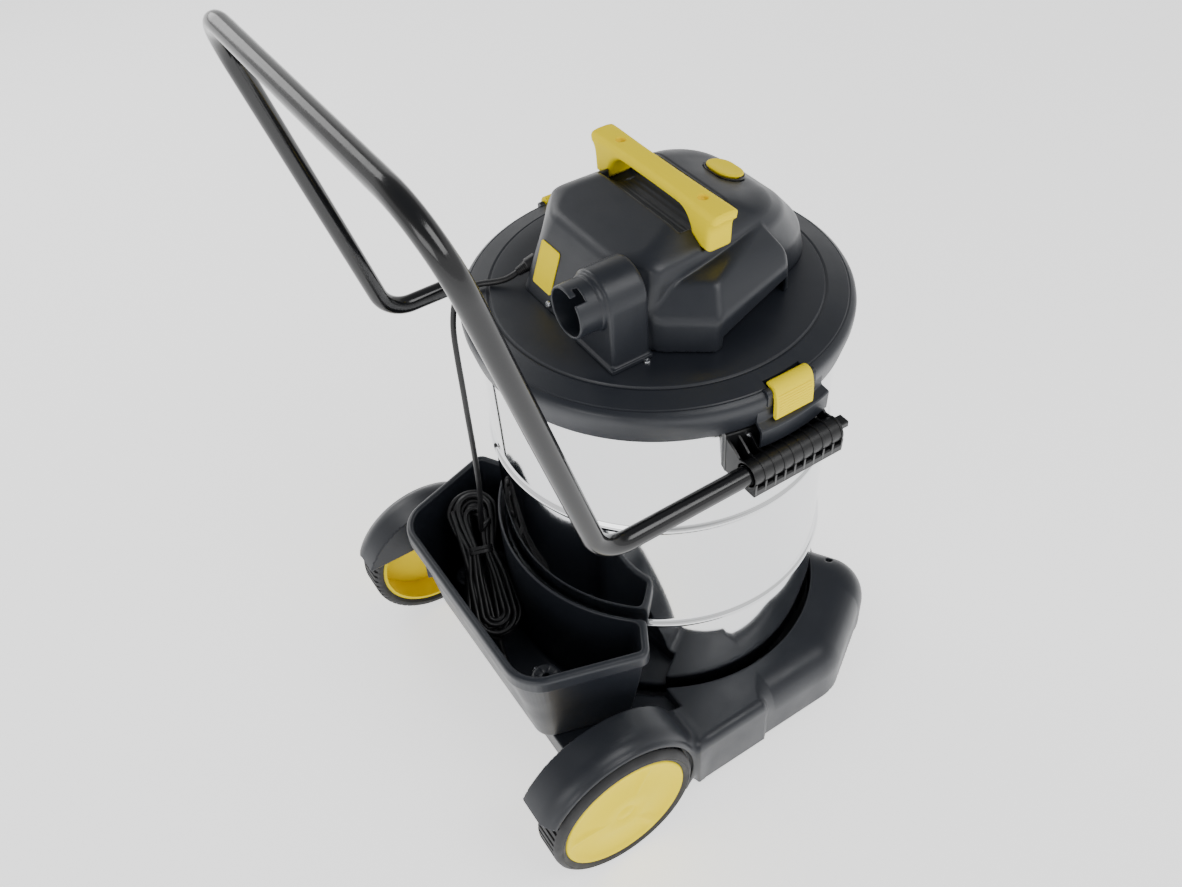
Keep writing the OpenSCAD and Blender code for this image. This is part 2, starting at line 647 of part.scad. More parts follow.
// Filter and float hang under the bowl
cage_top = motor_z - 3.5;
module float_cage() color(black) on_axis() {
    difference() {
        translate([0, 0, cage_top - 4]) cylinder(r = 66, h = 4);
        translate([0, 0, cage_top - 5]) cylinder(r = 22, h = 6);
    }
    for (a = [0 : 45 : 315]) rotate([0, 0, a]) translate([34, 0, 446]) cylinder(r = 3, h = 89);
    difference() {
        translate([0, 0, 443]) cylinder(r = 38, h = 4);
        translate([0, 0, 440]) cylinder(r = 12, h = 10);
    }
}
module float_ball() color("white") on_axis() translate([0, 0, 447.6 + 26]) sphere(r = 26);
pleats = 48;
module filter_sleeve() color("white") on_axis() translate([0, 0, 416]) linear_extrude(cage_top - 4 - 416)
    difference() {
        polygon([for (i = [0 : 2 * pleats - 1]) let (a = 180 * i / pleats, r = i % 2 == 0 ? 78 : 68)
            [r * cos(a), r * sin(a)]]);
        circle(r = 60);
    }
module filter_cap() color(black) on_axis() rotate_extrude() polygon([[0, 406], [80, 406], [80, 422],
    [78.4, 422], [78.4, 416], [59, 416], [56, 412], [0, 412]]);

// Cord: gland, run over the lid's edge, hank in the tray, tail and plug
gland_axis = unit(cord_route[1] - cord_route[0]);
gland_len = 26;
module cable_gland() color(black) on_axis() difference() {
    p = cord_route[0] - gland_axis * gland_len;
    translate(p) rotate([0, acos(gland_axis[2]), atan2(gland_axis[1], gland_axis[0])])
        cylinder(r1 = 8, r2 = cord_d / 2 + 1.1, h = gland_len);
    hump(-0.05);
}

function catmull(a, b, c, d, t) = 0.5 * (2 * b + (c - a) * t + (2 * a - 5 * b + 4 * c - d) * t * t
    + (3 * b - a - 3 * c + d) * t * t * t);
function route_point(p, i, t) = catmull(p[max(i - 1, 0)], p[i], p[i + 1], p[min(i + 2, len(p) - 1)], t);
function smooth(p, n) = concat([for (i = [0 : len(p) - 2], k = [0 : n - 1]) route_point(p, i, k / n)],
    [p[len(p) - 1]]);
function tangent(p, i) = unit(p[min(i + 1, len(p) - 1)] - p[max(i - 1, 0)]);
function ring(p, t, ref, r, n) = let (u = unit(cross(t, ref)), v = cross(t, u))
    [for (k = [0 : n - 1]) p + r * (cos(360 * k / n) * u + sin(360 * k / n) * v)];

module swept_cord(route, ref, n) {
    p = smooth(route, 3);
    m = len(p);
    points = [for (i = [0 : m - 1]) each ring(p[i], tangent(p, i), ref, cord_d / 2, n)];
    walls = [for (i = [0 : m - 2], k = [0 : n - 1])
        [i * n + k, i * n + (k + 1) % n, (i + 1) * n + (k + 1) % n, (i + 1) * n + k]];
    caps = [[for (k = [n - 1 : -1 : 0]) k], [for (k = [0 : n - 1]) (m - 1) * n + k]];
    polyhedron(points, concat(walls, caps));
}

module cord_run() color(black) on_axis() swept_cord(cord_route, [0.9, -0.43, 0], 10);
module cord_tail() color(black) on_axis() swept_cord(tail_route, [0, 0, 1], 10);

// Local x runs down the hank, z out of its flat face
hank_dir = unit(hank_end - hank_top);
hank_len = norm(hank_end - hank_top);
module along_hank() on_axis() translate(hank_top)
    rotate([0, -asin(hank_dir[2]), atan2(hank_dir[1], hank_dir[0])]) children();
module cord_hank() color(black) difference() {
    along_hank() translate([0, 0, -hank_t / 2]) {
        for (x = [hank_w / 2, hank_len - hank_w / 2]) translate([x, 0, 0])
            cylinder(r = hank_w / 2, h = hank_t);
        translate([hank_w / 2, -hank_w / 2, 0]) cube([hank_len - hank_w, hank_w, hank_t]);
    }
    along_hank() translate([hank_len * 0.42 - 5, -50, -50]) cube([10, 100, 100]);
}
module cord_tie() color(black) along_hank() translate([hank_len * 0.42 - 4.9, -22, -hank_t / 2])
    cube([9.8, 44, hank_t]);

module plug() color(black) on_axis() translate(tail_route[len(tail_route) - 1])
    rotate([0, 90, 180]) {
        cylinder(r1 = cord_d / 2 + 1.1, r2 = 8, h = 12);
        translate([0, 0, 12]) cylinder(r = 8.8, h = 18);
        for (e = sides) translate([0, 5 * e, 29.9]) cylinder(r = 2, h = 18);
    }

chassis();
rear_axle();
wheel_washers();
tyre(-1);  // tyre_left
tyre(1);  // tyre_right
wheel_disc(-1);  // wheel_disc_left
wheel_disc(1);  // wheel_disc_right
caster_fork(-1);  // caster_fork_left
caster_fork(1);  // caster_fork_right
caster_axle(-1);  // caster_axle_left
caster_axle(1);  // caster_axle_right
caster_wheel(-1);  // caster_wheel_left
caster_wheel(1);  // caster_wheel_right
drum_shell();
drum_base();
drum_screws();
inlet_housing();
inlet_gasket();
inlet_screws();
inlet_elbow();
rear_tray();
accessory_pegs();
tray_screws();
bracket(-1);  // bracket_left
bracket(1);  // bracket_right
bracket_screws();
push_handle();
tube_plugs();
lid();
lid_seal();
head_cover();
exhaust_grilles();
blower_housing();
spec_plate();
cover_screws();
carry_handle();
handle_screws();
switch_bezel();
switch_button();
latch(-1);  // latch_left
latch(1);  // latch_right
latch_pins();
fan_housing();
motor_stator();
motor_bracket();
rotor();
impeller();
float_cage();
float_ball();
filter_sleeve();
filter_cap();
cable_gland();
cord_run();
cord_hank();
cord_tie();
cord_tail();
plug();
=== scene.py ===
"""Looks of the shop vacuum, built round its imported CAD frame.

Shapes are worked out in millimetres from the drum's axis (x right, y back, z up from the floor) and are
turned into metres in the frame by place(). Moulded covers are meshed from distance fields.
"""

import json
import math

import bmesh
import bpy
import numpy as np
from mathutils import Matrix, Vector


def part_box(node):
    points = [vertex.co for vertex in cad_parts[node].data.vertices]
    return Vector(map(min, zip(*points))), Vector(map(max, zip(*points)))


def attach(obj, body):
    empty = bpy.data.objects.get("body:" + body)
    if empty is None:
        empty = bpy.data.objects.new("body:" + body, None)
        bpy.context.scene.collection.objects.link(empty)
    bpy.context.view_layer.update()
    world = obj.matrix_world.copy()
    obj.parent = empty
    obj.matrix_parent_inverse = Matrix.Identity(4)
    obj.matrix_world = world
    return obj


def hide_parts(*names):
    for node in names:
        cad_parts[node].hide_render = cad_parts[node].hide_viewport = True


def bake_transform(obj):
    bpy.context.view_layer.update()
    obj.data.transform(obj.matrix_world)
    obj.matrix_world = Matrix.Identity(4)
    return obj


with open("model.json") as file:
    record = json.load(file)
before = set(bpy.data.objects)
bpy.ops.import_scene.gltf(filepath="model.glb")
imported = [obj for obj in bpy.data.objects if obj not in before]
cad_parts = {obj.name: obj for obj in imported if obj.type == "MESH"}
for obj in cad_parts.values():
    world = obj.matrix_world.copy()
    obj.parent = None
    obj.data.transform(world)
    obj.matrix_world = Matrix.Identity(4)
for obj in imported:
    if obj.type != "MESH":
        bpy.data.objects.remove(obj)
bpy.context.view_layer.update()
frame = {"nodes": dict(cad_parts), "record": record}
NODES = frame["nodes"]
SIDES = {"left": -1, "right": 1}


def axis_y():
    """The drum's axis in the frame, halfway along the round lid."""
    lo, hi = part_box("lid")
    return (lo.y + hi.y) / 2


AXIS_Y = axis_y()


def place(points):
    """Millimetres from the drum's axis, as metres in the frame."""
    return np.asarray(points, float).reshape(-1, 3) * 0.001 + np.array([0, AXIS_Y, 0])


# ---------------------------------------------------------------- camera and room


def make_camera():
    """The photograph's view: from behind, left and above, with a slight roll."""
    azimuth, elevation, roll = math.radians(240), math.radians(44.4), math.radians(-4.51)
    back = Vector((math.sin(azimuth) * math.cos(elevation), -math.cos(azimuth) * math.cos(elevation),
                   math.sin(elevation)))
    level = Vector((0, 0, 1)).cross(back).normalized()
    right = level * math.cos(roll) + back.cross(level) * math.sin(roll)
    camera = bpy.data.objects.new("camera", bpy.data.cameras.new("camera"))
    camera.data.sensor_width = 36
    camera.data.lens = 33.607
    camera.data.clip_end = 60
    camera.matrix_world = Matrix((right, back.cross(right), back)).transposed().to_4x4()
    camera.location = (-0.82199, 0.57372 + AXIS_Y, 1.35683)
    bpy.context.scene.collection.objects.link(camera)
    bpy.context.scene.camera = camera


def area_light(name, location, target, size, power):
    light = bpy.data.lights.new(name, "AREA")
    light.shape = "RECTANGLE"
    light.size, light.size_y = size
    light.energy = power
    obj = bpy.data.objects.new(name, light)
    obj.location = location
    obj.rotation_euler = (Vector(target) - Vector(location)).to_track_quat("-Z", "Y").to_euler()
    bpy.context.scene.collection.objects.link(obj)


def sky(tree, background):
    """A bright room with a darker ceiling, so that polished faces show edges."""
    direction = tree.nodes.new("ShaderNodeTexCoord")
    split = tree.nodes.new("ShaderNodeSeparateXYZ")
    ramp = tree.nodes.new("ShaderNodeValToRGB")
    tree.links.new(direction.outputs["Generated"], split.inputs["Vector"])
    tree.links.new(split.outputs["Z"], ramp.inputs["Fac"])
    tree.links.new(ramp.outputs["Color"], background.inputs["Color"])
    stops = ramp.color_ramp
    stops.elements[0].position, stops.elements[0].color = 0.0, (1, 1, 1, 1)
    stops.elements[1].position, stops.elements[1].color = 1.0, (0.25, 0.26, 0.28, 1)
    for position, shade in ((0.38, 1.0), (0.55, 0.35)):
        stops.elements.new(position).color = (shade, shade, shade, 1)


def make_room():
    world = bpy.data.worlds.new("studio")
    bpy.context.scene.world = world
    world.use_nodes = True
    background = world.node_tree.nodes["Background"]
    background.inputs["Color"].default_value = (1, 1, 1, 1)
    background.inputs["Strength"].default_value = 1.0
    sky(world.node_tree, background)
    area_light("key", (-1.6, -0.6, 2.6), (0, 0, 0.5), (1.4, 1.4), 28)
    area_light("fill", (-1.2, 2.4, 1.6), (0, 0, 0.4), (1.6, 1.0), 14)
    area_light("rim", (2.4, 0.6, 2.0), (0, 0, 0.5), (1.2, 2.0), 22)
    bpy.ops.mesh.primitive_plane_add(size=40, location=(0, 0, 0))
    floor = bpy.context.object
    floor.name = "floor"
    floor.data.materials.append(plain_material("pale_floor", (0.9, 0.9, 0.9), 0.6, 1.2))


# ---------------------------------------------------------------- materials


class Shader:
    """A Principled material with short ways to add nodes. Textures follow object coordinates, in metres."""

    def __init__(self, name, color, roughness, metallic=0.0, **sockets):
        self.material = bpy.data.materials.new(name)
        self.material.use_nodes = True
        self.tree = self.material.node_tree
        self.bsdf = self.tree.nodes["Principled BSDF"]
        self.bsdf.inputs["Base Color"].default_value = (*color, 1)
        self.bsdf.inputs["Roughness"].default_value = roughness
        self.bsdf.inputs["Metallic"].default_value = metallic
        for socket, value in sockets.items():
            self.bsdf.inputs[socket.replace("_", " ")].default_value = value
        self.color = color
        self.height = None

    def node(self, kind, **inputs):
        made = self.tree.nodes.new("ShaderNode" + kind)
        for socket, value in inputs.items():
            self.feed(value, made.inputs[socket.replace("_", " ")])
        return made

    def feed(self, value, socket):
        if isinstance(value, bpy.types.NodeSocket):
            self.tree.links.new(value, socket)
        else:
            socket.default_value = value

    def coords(self, stretch=(1, 1, 1)):
        mapping = self.node("Mapping", Vector=self.node("TexCoord").outputs["Object"])
        mapping.inputs["Scale"].default_value = stretch
        return mapping.outputs["Vector"]

    def noise(self, scale, detail=2.0, stretch=(1, 1, 1), roughness=0.5):
        return self.node("TexNoise", Vector=self.coords(stretch), Scale=scale, Detail=detail,
                         Roughness=roughness).outputs["Fac"]

    def ranged(self, value, low, high, start=0.3, end=0.7):
        made = self.node("MapRange", Value=value)
        for socket, number in (("From Min", start), ("From Max", end), ("To Min", low), ("To Max", high)):
            made.inputs[socket].default_value = number
        return made.outputs["Result"]

    def tint(self, value, low, high):
        """Base colour between two shades of the material's own colour."""
        ramp = self.node("ValToRGB", Fac=value)
        for element, share in zip(ramp.color_ramp.elements, (low, high)):
            element.color = (*[min(1, c * share) for c in self.color], 1)
        self.feed(ramp.outputs["Color"], self.bsdf.inputs["Base Color"])

    def roughen(self, value, low, high):
        self.feed(self.ranged(value, low, high), self.bsdf.inputs["Roughness"])

    def bump(self, value, distance, strength=1.0):
        made = self.node("Bump", Height=value, Distance=distance, Strength=strength)
        if self.height is not None:
            self.feed(self.height, made.inputs["Normal"])
        self.height = made.outputs["Normal"]
        self.feed(self.height, self.bsdf.inputs["Normal"])


def plain_material(name, color, roughness, glow):
    shader = Shader(name, color, roughness, Emission_Color=(1, 1, 1, 1), Emission_Strength=glow)
    shader.tint(shader.noise(3), 0.99, 1.01)
    return shader.material


def moulded(name, color, roughness, grain=1500, depth=0.00004, wear=0.12, **sockets):
    """Injection-moulded plastic: spark-eroded grain, faint flow marks and handling shine."""
    shader = Shader(name, color, roughness, **sockets)
    shader.tint(shader.noise(9, 4), 1 - wear, 1 + wear)
    shader.roughen(shader.noise(26, 3), roughness - 0.05, roughness + 0.06)
    shader.bump(shader.noise(grain, 3, roughness=0.65), depth)
    shader.bump(shader.noise(35, 2), 0.0004, 0.25)
    return shader.material


def polished_steel(name, roughness=0.035, waviness=0.0006):
    """Mirror-polished sheet: faint upright brushing, slight waviness and a few cloudy handling marks."""
    shader = Shader(name, (0.80, 0.81, 0.82), roughness, 1.0)
    shader.tint(shader.noise(7, 3), 0.97, 1.02)
    shader.roughen(shader.noise(120, 3, (6, 6, 0.15)), roughness, roughness + 0.05)
    shader.bump(shader.noise(900, 2, (4, 4, 0.02)), 0.000004)
    shader.bump(shader.noise(5, 1, (1, 1, 0.35)), waviness, 0.5)
    return shader.material


def zinc_steel(name):
    shader = Shader(name, (0.55, 0.56, 0.58), 0.28, 1.0)
    shader.tint(shader.noise(60, 3), 0.85, 1.05)
    shader.roughen(shader.noise(180, 3), 0.22, 0.36)
    shader.bump(shader.noise(2200, 2), 0.00001)
    return shader.material


def enamelled_tube(name):
    """Gloss black enamel with orange peel and tiny specks of dust in the coat."""
    shader = Shader(name, (0.005, 0.0052, 0.006), 0.2, Coat_Weight=0.15, Coat_Roughness=0.06)
    shader.tint(shader.noise(12, 3), 0.8, 1.3)
    shader.roughen(shader.noise(50, 3), 0.14, 0.24)
    shader.bump(shader.noise(260, 2), 0.00012, 0.35)
    return shader.material


def rubber(name, color, roughness, grain=900):
    shader = Shader(name, color, roughness)
    shader.tint(shader.noise(30, 4), 0.8, 1.35)
    shader.roughen(shader.noise(70, 3), roughness - 0.07, roughness + 0.08)
    shader.bump(shader.noise(grain, 4, roughness=0.7), 0.00006)
    return shader.material


def cast_aluminium(name):
    shader = Shader(name, (0.72, 0.73, 0.75), 0.4, 1.0)
    shader.tint(shader.noise(40, 3), 0.88, 1.05)
    shader.bump(shader.noise(1100, 4, roughness=0.7), 0.00006)
    return shader.material


def filter_cloth(name):
    """Pleated non-woven cloth: upright pleats and felted fibres."""
    shader = Shader(name, (0.80, 0.80, 0.76), 0.9)
    shader.tint(shader.noise(45, 5), 0.85, 1.05)
    shader.bump(shader.noise(160, 1, (1, 1, 0.03)), 0.0012, 0.7)
    shader.bump(shader.noise(2400, 4), 0.0002)
    return shader.material


MATERIALS = {
    "slate_plastic": moulded("slate_plastic", (0.014, 0.0165, 0.0225), 0.38),
    "black_plastic": moulded("black_plastic", (0.006, 0.0063, 0.0072), 0.34, depth=0.00003),
    "yellow_plastic": moulded("yellow_plastic", (1.0, 0.77, 0.0), 0.5, grain=1900, depth=0.00002,
                              wear=0.03, Specular_IOR_Level=0.08),
    "polished_steel": polished_steel("polished_steel"),
    "plain_steel": zinc_steel("plain_steel"),
    "black_tube": enamelled_tube("black_tube"),
    "tyre_rubber": rubber("tyre_rubber", (0.022, 0.022, 0.023), 0.62),
    "black_rubber": rubber("black_rubber", (0.010, 0.010, 0.011), 0.38, 600),
    "aluminium_shell": cast_aluminium("aluminium_shell"),
    "filter_cloth": filter_cloth("filter_cloth"),
    "white_plastic": moulded("white_plastic", (0.75, 0.75, 0.73), 0.4, wear=0.04),
}


def dress_cad_nodes():
    """Every CAD node gets its slot's material; the ones that a piece replaces are hidden later."""
    slots = {s["node"]: s["material_slot"] for s in frame["record"]["subparts"]}
    for node, obj in NODES.items():
        obj.data.materials.clear()
        obj.data.materials.append(MATERIALS[slots[node]])


# ---------------------------------------------------------------- mesh helpers


def piece(name, points, faces, body, slot, replaces=(), angle=30):
    """A mesh piece from points in millimetres from the drum's axis."""
    mesh = bpy.data.meshes.new(name)
    mesh.from_pydata(place(points).tolist(), [], [list(f) for f in faces])
    mesh.validate()
    tidy = bmesh.new()
    tidy.from_mesh(mesh)
    bmesh.ops.remove_doubles(tidy, verts=tidy.verts, dist=1e-6)
    bmesh.ops.recalc_face_normals(tidy, faces=tidy.faces)
    tidy.to_mesh(mesh)
    tidy.free()
    return adopt(bpy.data.objects.new(name, mesh), body, slot, replaces, angle)


def adopt(obj, body, slot, replaces=(), angle=30):
    """Puts a mesh in the scene with its material and its body, and hides the CAD nodes that it stands for."""
    bpy.context.scene.collection.objects.link(obj)
    if angle is not None:
        obj.data.polygons.foreach_set("use_smooth", [True] * len(obj.data.polygons))
        obj.data.set_sharp_from_angle(angle=math.radians(angle))
    obj.data.materials.clear()
    obj.data.materials.append(MATERIALS[slot])
    if body is not None:
        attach(obj, body)
    if replaces:
        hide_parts(*replaces)
    return obj


def collect(shells):
    """Several closed shells as one list of points and faces."""
    points, faces = [], []
    for more, more_faces in shells:
        base = len(points)
        points += [tuple(p) for p in more]
        faces += [tuple(base + i for i in f) for f in more_faces]
    return points, faces


def bevelled(obj, width, segments=3, limit=35):
    """Rounds the hard edges by width millimetres."""
    made = obj.modifiers.new("rounded", "BEVEL")
    made.width = width / 1000
    made.segments = segments
    made.limit_method = "ANGLE"
    made.angle_limit = math.radians(limit)
    made.harden_normals = True
    return obj


def arc(centre, radius, start, end, steps):
    """Points of an arc in degrees, the end included."""
    turn = np.radians(np.linspace(start, end, steps + 1))
    return [(centre[0] + radius * math.cos(t), centre[1] + radius * math.sin(t)) for t in turn]


def turned(profile, segments, start=0.0, end=360.0, closed=True):
    """Points and faces of a profile of (radius, height) turned about the Z axis."""
    whole = end - start >= 360
    count = segments if whole else segments + 1
    turn = np.radians(start + (end - start) * np.arange(count) / segments)
    points = [(r * math.cos(t), r * math.sin(t), z) for t in turn for r, z in profile]
    n = len(profile)
    faces = []
    for i in range(segments):
        a, b = i * n, ((i + 1) % count) * n
        for k in range(n if closed else n - 1):
            m = (k + 1) % n
            faces.append((a + k, b + k, b + m, a + m))
    if closed and not whole:
        faces += [tuple(range(n)), tuple(range((count - 1) * n, count * n))]
    return points, faces


def extruded(outline, low, high):
    """Points and faces of an outline of (x, y) drawn out from low to high."""
    n = len(outline)
    points = [(x, y, z) for z in (low, high) for x, y in outline]
    walls = [(i, (i + 1) % n, n + (i + 1) % n, n + i) for i in range(n)]
    return points, walls + [tuple(range(n))[::-1], tuple(range(n, 2 * n))]


def upright(outline, y0, y1, side):
    """An outline of (x, z) drawn out along Y, on one side."""
    points, faces = extruded(outline, y0, y1)
    return [(side * x, z, y) for x, y, z in points], faces


def rod(radius, low, high, segments):
    """A closed cylinder, used to drill holes."""
    points, faces = turned([(radius, low), (radius, high)], segments, closed=False)
    return points, faces + [tuple(range(0, 2 * segments, 2)), tuple(range(1, 2 * segments, 2))]


def drilled(obj, points, faces):
    """Cuts a closed solid out of a piece."""
    cutter = piece("drill", points, faces, None, "plain_steel")
    hole = obj.modifiers.new("hole", "BOOLEAN")
    hole.object = cutter
    hole.solver = "EXACT"
    bpy.context.view_layer.update()
    cut = bpy.data.meshes.new_from_object(obj.evaluated_get(bpy.context.evaluated_depsgraph_get()))
    obj.modifiers.clear()
    obj.data = cut
    bpy.data.objects.remove(cutter)


def unit(v):
    return v / np.linalg.norm(v)


def smooth_route(route, steps):
    """Catmull-Rom points along a route."""
    p = np.asarray(route, float)
    made = []
    for i in range(len(p) - 1):
        a, b, c, d = p[max(i - 1, 0)], p[i], p[i + 1], p[min(i + 2, len(p) - 1)]
        for t in np.arange(steps) / steps:
            made.append(0.5 * (2 * b + (c - a) * t + (2 * a - 5 * b + 4 * c - d) * t * t
                               + (3 * b - a - 3 * c + d) * t ** 3))
    return np.array(made + [p[-1]])


def swept(path, radii, sides=12):
    """Points and faces of a round tube along a path, its frame carried along without twist."""
    path = np.asarray(path, float)
    tangents = np.gradient(path, axis=0)
    tangents /= np.linalg.norm(tangents, axis=1)[:, None]
    across = unit(np.cross(tangents[0], [0.31, 0.2, 0.93]))
    points, faces = [], []
    for p, t, r in zip(path, tangents, np.broadcast_to(radii, len(path))):
        across = unit(across - t * (across @ t))
        up = np.cross(t, across)
        for k in range(sides):
            a = 2 * math.pi * k / sides
            points.append(p + r * (math.cos(a) * across + math.sin(a) * up))
    n = len(path)
    for i in range(n - 1):
        for k in range(sides):
            m = (k + 1) % sides
            faces.append((i * sides + k, i * sides + m, (i + 1) * sides + m, (i + 1) * sides + k))
    faces += [tuple(range(sides))[::-1], tuple(range((n - 1) * sides, n * sides))]
    return points, faces


# ---------------------------------------------------------------- cord

CORD_D = 7
# The route from the gland over the lid's edge and down into the tray, as part.scad has it
CORD_ROUTE = [
    (85, 127, 642), (86, 134, 639.3), (89, 143, 636.5), (95, 153, 634.6), (104, 166, 632.5),
    (110, 181, 629), (111, 193, 620), (109, 200, 606), (104, 206, 585), (97, 210, 555),
    (90, 213, 515), (86, 215, 470), (84, 216, 420), (84, 217, 370), (87, 218, 330),
    (92, 219.5, 300), (98, 220.5, 259.6)]
TAIL_ROUTE = [(3.4, 260.6, 156), (-4, 262.5, 147), (-12, 264, 137), (-22, 265, 130.5), (-32, 265.5, 128)]
HANK_TOP = np.array([158.4, 204.6, 277])
HANK_END = np.array([3.4, 260.6, 156])
HANK_W = 60
TIE_SHARE = 0.42


def hank_frame():
    """The hank's own directions: down it, across its flat face, and out of that face."""
    along = unit(HANK_END - HANK_TOP)
    across = unit(np.array([along[1], -along[0], 0])) * -1
    return along, across, np.cross(along, across)


def hank_point(along_mm, across_mm, out_mm):
    along, across, out = hank_frame()
    return HANK_TOP + along * along_mm + across * across_mm + out * out_mm


def hank_path():
    """Flat turns in six layers that fan out either side of the tie, some turns inside others."""
    length = np.linalg.norm(HANK_END - HANK_TOP)
    widths = [(26.2, 18.8, 11.2), (26.0, 18.2, 11.0), (25.4, 17.8, 10.6), (26.2, 18.8, 11.2), (25.8, 18.4, 11.2),
              (24.6, 17.4, 10.4)]
    draws = np.random.default_rng(7)
    fan = (-5, 4, -1, 6, -4, 2)
    turns = [(radius, (k - 2.5) * 6.6, math.radians(fan[k])) for k, row in enumerate(widths)
             for radius in (row if k % 2 == 0 else row[::-1])]
    path = []
    for number, (radius, height, lean) in enumerate(turns):
        wander = draws.normal(0, 1, 8)
        low = HANK_W / 2 + 2 + abs(wander[4]) * 6 * (26.5 - radius) / 10
        far = length - HANK_W / 2 - abs(wander[1]) * 7
        for side in (1, -1):
            for share in np.linspace(0, 1, 9)[::side]:
                belly = math.sin(math.pi * share)
                path.append((low + (far - low) * share, side * (radius - abs(wander[6 - side]) * belly * 1.8),
                             height + 1.1 * wander[1 - side] * belly, lean))
            if side < 0:
                break
            for a in np.radians(np.linspace(75, -75, 7)):
                path.append((far + radius * math.cos(a), radius * math.sin(a), height + wander[3] * 0.5, lean))
        if number == len(turns) - 1:
            continue
        next_radius, next_height, next_lean = turns[number + 1]
        for share in np.linspace(0, 1, 7):
            a = math.radians(150 * share - 75)
            size = radius + (next_radius - radius) * share
            path.append((low - size * math.cos(a), size * math.sin(a), height + (next_height - height) * share,
                         lean + (next_lean - lean) * share))
    made = []
    for x, y, z, lean in path:
        x -= TIE_SHARE * length
        pinch = math.exp(-((x / 24) ** 2))
        y *= 1 - 0.32 * pinch
        made.append(hank_point(TIE_SHARE * length + x * math.cos(lean) - y * math.sin(lean),
                               x * math.sin(lean) + y * math.cos(lean), z * (1 - 0.06 * pinch)))
    return made


def make_cord():
    run = smooth_route(CORD_ROUTE, 6)
    entry = hank_point(52, 15, 24)
    coil = hank_path()
    leave = hank_point(np.linalg.norm(HANK_END - HANK_TOP) - 22, -14, 12)
    inside = smooth_route([CORD_ROUTE[-1], entry] + coil + [leave, TAIL_ROUTE[0]], 3)[1:-1]
    path = np.vstack([run, inside, smooth_route(TAIL_ROUTE, 5)])
    keep = [0]
    for i in range(1, len(path)):
        if np.linalg.norm(path[i] - path[keep[-1]]) > 2.5:
            keep.append(i)
    path = path[keep]
    length = float(np.linalg.norm(np.diff(path, axis=0), axis=1).sum()) / 1000
    points, faces = swept(path, CORD_D / 2, 12)
    cord = piece("mains_cord", points, faces, None, "black_rubber", ("cord_run", "cord_hank", "cord_tail"), 60)
    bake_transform(cord)
    return cord, path, length


def make_tie():
    """A strap wound twice round the pinched middle of the hank."""
    wide, high, thick, strap, around = 18.5, 22.2, 1.1, 4.6, 48
    middle = TIE_SHARE * np.linalg.norm(HANK_END - HANK_TOP)
    shells = []
    for low in (-5, 0.2):
        columns = []
        for a in 2 * math.pi * np.arange(around) / around:
            c, s = math.cos(a), math.sin(a)
            y, z = wide * math.copysign(abs(c) ** 0.6, c), high * math.copysign(abs(s) ** 0.6, s)
            columns.append([hank_point(middle + low + dx, y + grow * c, z + grow * s)
                            for dx, grow in ((0, 0), (strap, 0), (strap, thick), (0, thick))])
        faces = [(4 * k + j, 4 * k + (j + 1) % 4, 4 * ((k + 1) % around) + (j + 1) % 4, 4 * ((k + 1) % around) + j)
                 for k in range(around) for j in range(4)]
        shells.append(([p for column in columns for p in column], faces))
    return bevelled(piece("hank_tie", *collect(shells), "root", "black_rubber", ("cord_tie",)), 0.4, 2)


def make_plug():
    """Two-pin plug with a ribbed grip, lying on the tray's floor."""
    x0, y0, z0 = TAIL_ROUTE[-1]
    collar = [(4.6, 0), (5.2, 1.5), (4.7, 2.6), (5.6, 3.8), (5.0, 5), (6.2, 6.3), (5.7, 7.6), (7, 9), (7.6, 11)]
    grip = [(8.0 + 0.7 * (k % 2), 12 + 1.4 * k) for k in range(10)]
    points, faces = turned([(0.01, 0)] + collar + grip + [(8.8, 27), (8.8, 29), (8.2, 30), (0.01, 30)], 40,
                           closed=False)
    plug = piece("plug_body", [(x0 - z, y0 + x, z0 + y) for x, y, z in points], faces, "root", "black_plastic",
                 ("plug",), 50)
    points, faces = turned([(0.01, 29), (2, 29), (2, 45.8), (1.4, 47.6), (0.01, 47.9)], 20, closed=False)
    for name, side in SIDES.items():
        piece("plug_pin_" + name, [(x0 - z, y0 + side * 5 + x, z0 + y) for x, y, z in points], faces, "root",
              "plain_steel")
    return plug


# ---------------------------------------------------------------- meshes from distance fields

BLOCK = 8


def smooth_max(a, b, k):
    """The larger of two distances, blended over k millimetres."""
    h = np.maximum(k - np.abs(a - b), 0) / k
    return np.maximum(a, b) + h * h * k / 4


def smooth_min(a, b, k):
    return -smooth_max(-a, -b, k)


def joined_max(distances, k):
    made = distances[0]
    for d in distances[1:]:
        made = smooth_max(made, d, k)
    return made


def between(value, low, high):
    """Distance outside a slab."""
    return np.maximum(low - value, value - high)


def rod_along_x(p, y, z, radius):
    return np.hypot(p[:, 1] - y, p[:, 2] - z) - radius


def oval_field(x, y, length, width):
    reach = (length - width) / 2
    return np.hypot(np.maximum(np.abs(x) - reach, 0), y) - width / 2


def plane_field(p, a, b, c, within):
    """Distance in front of the plane through three points, seen from outside."""
    a, b, c, within = (np.asarray(q, float) for q in (a, b, c, within))
    normal = unit(np.cross(b - a, c - a))
    if (within - a) @ normal > 0:
        normal = -normal
    return (p - a) @ normal


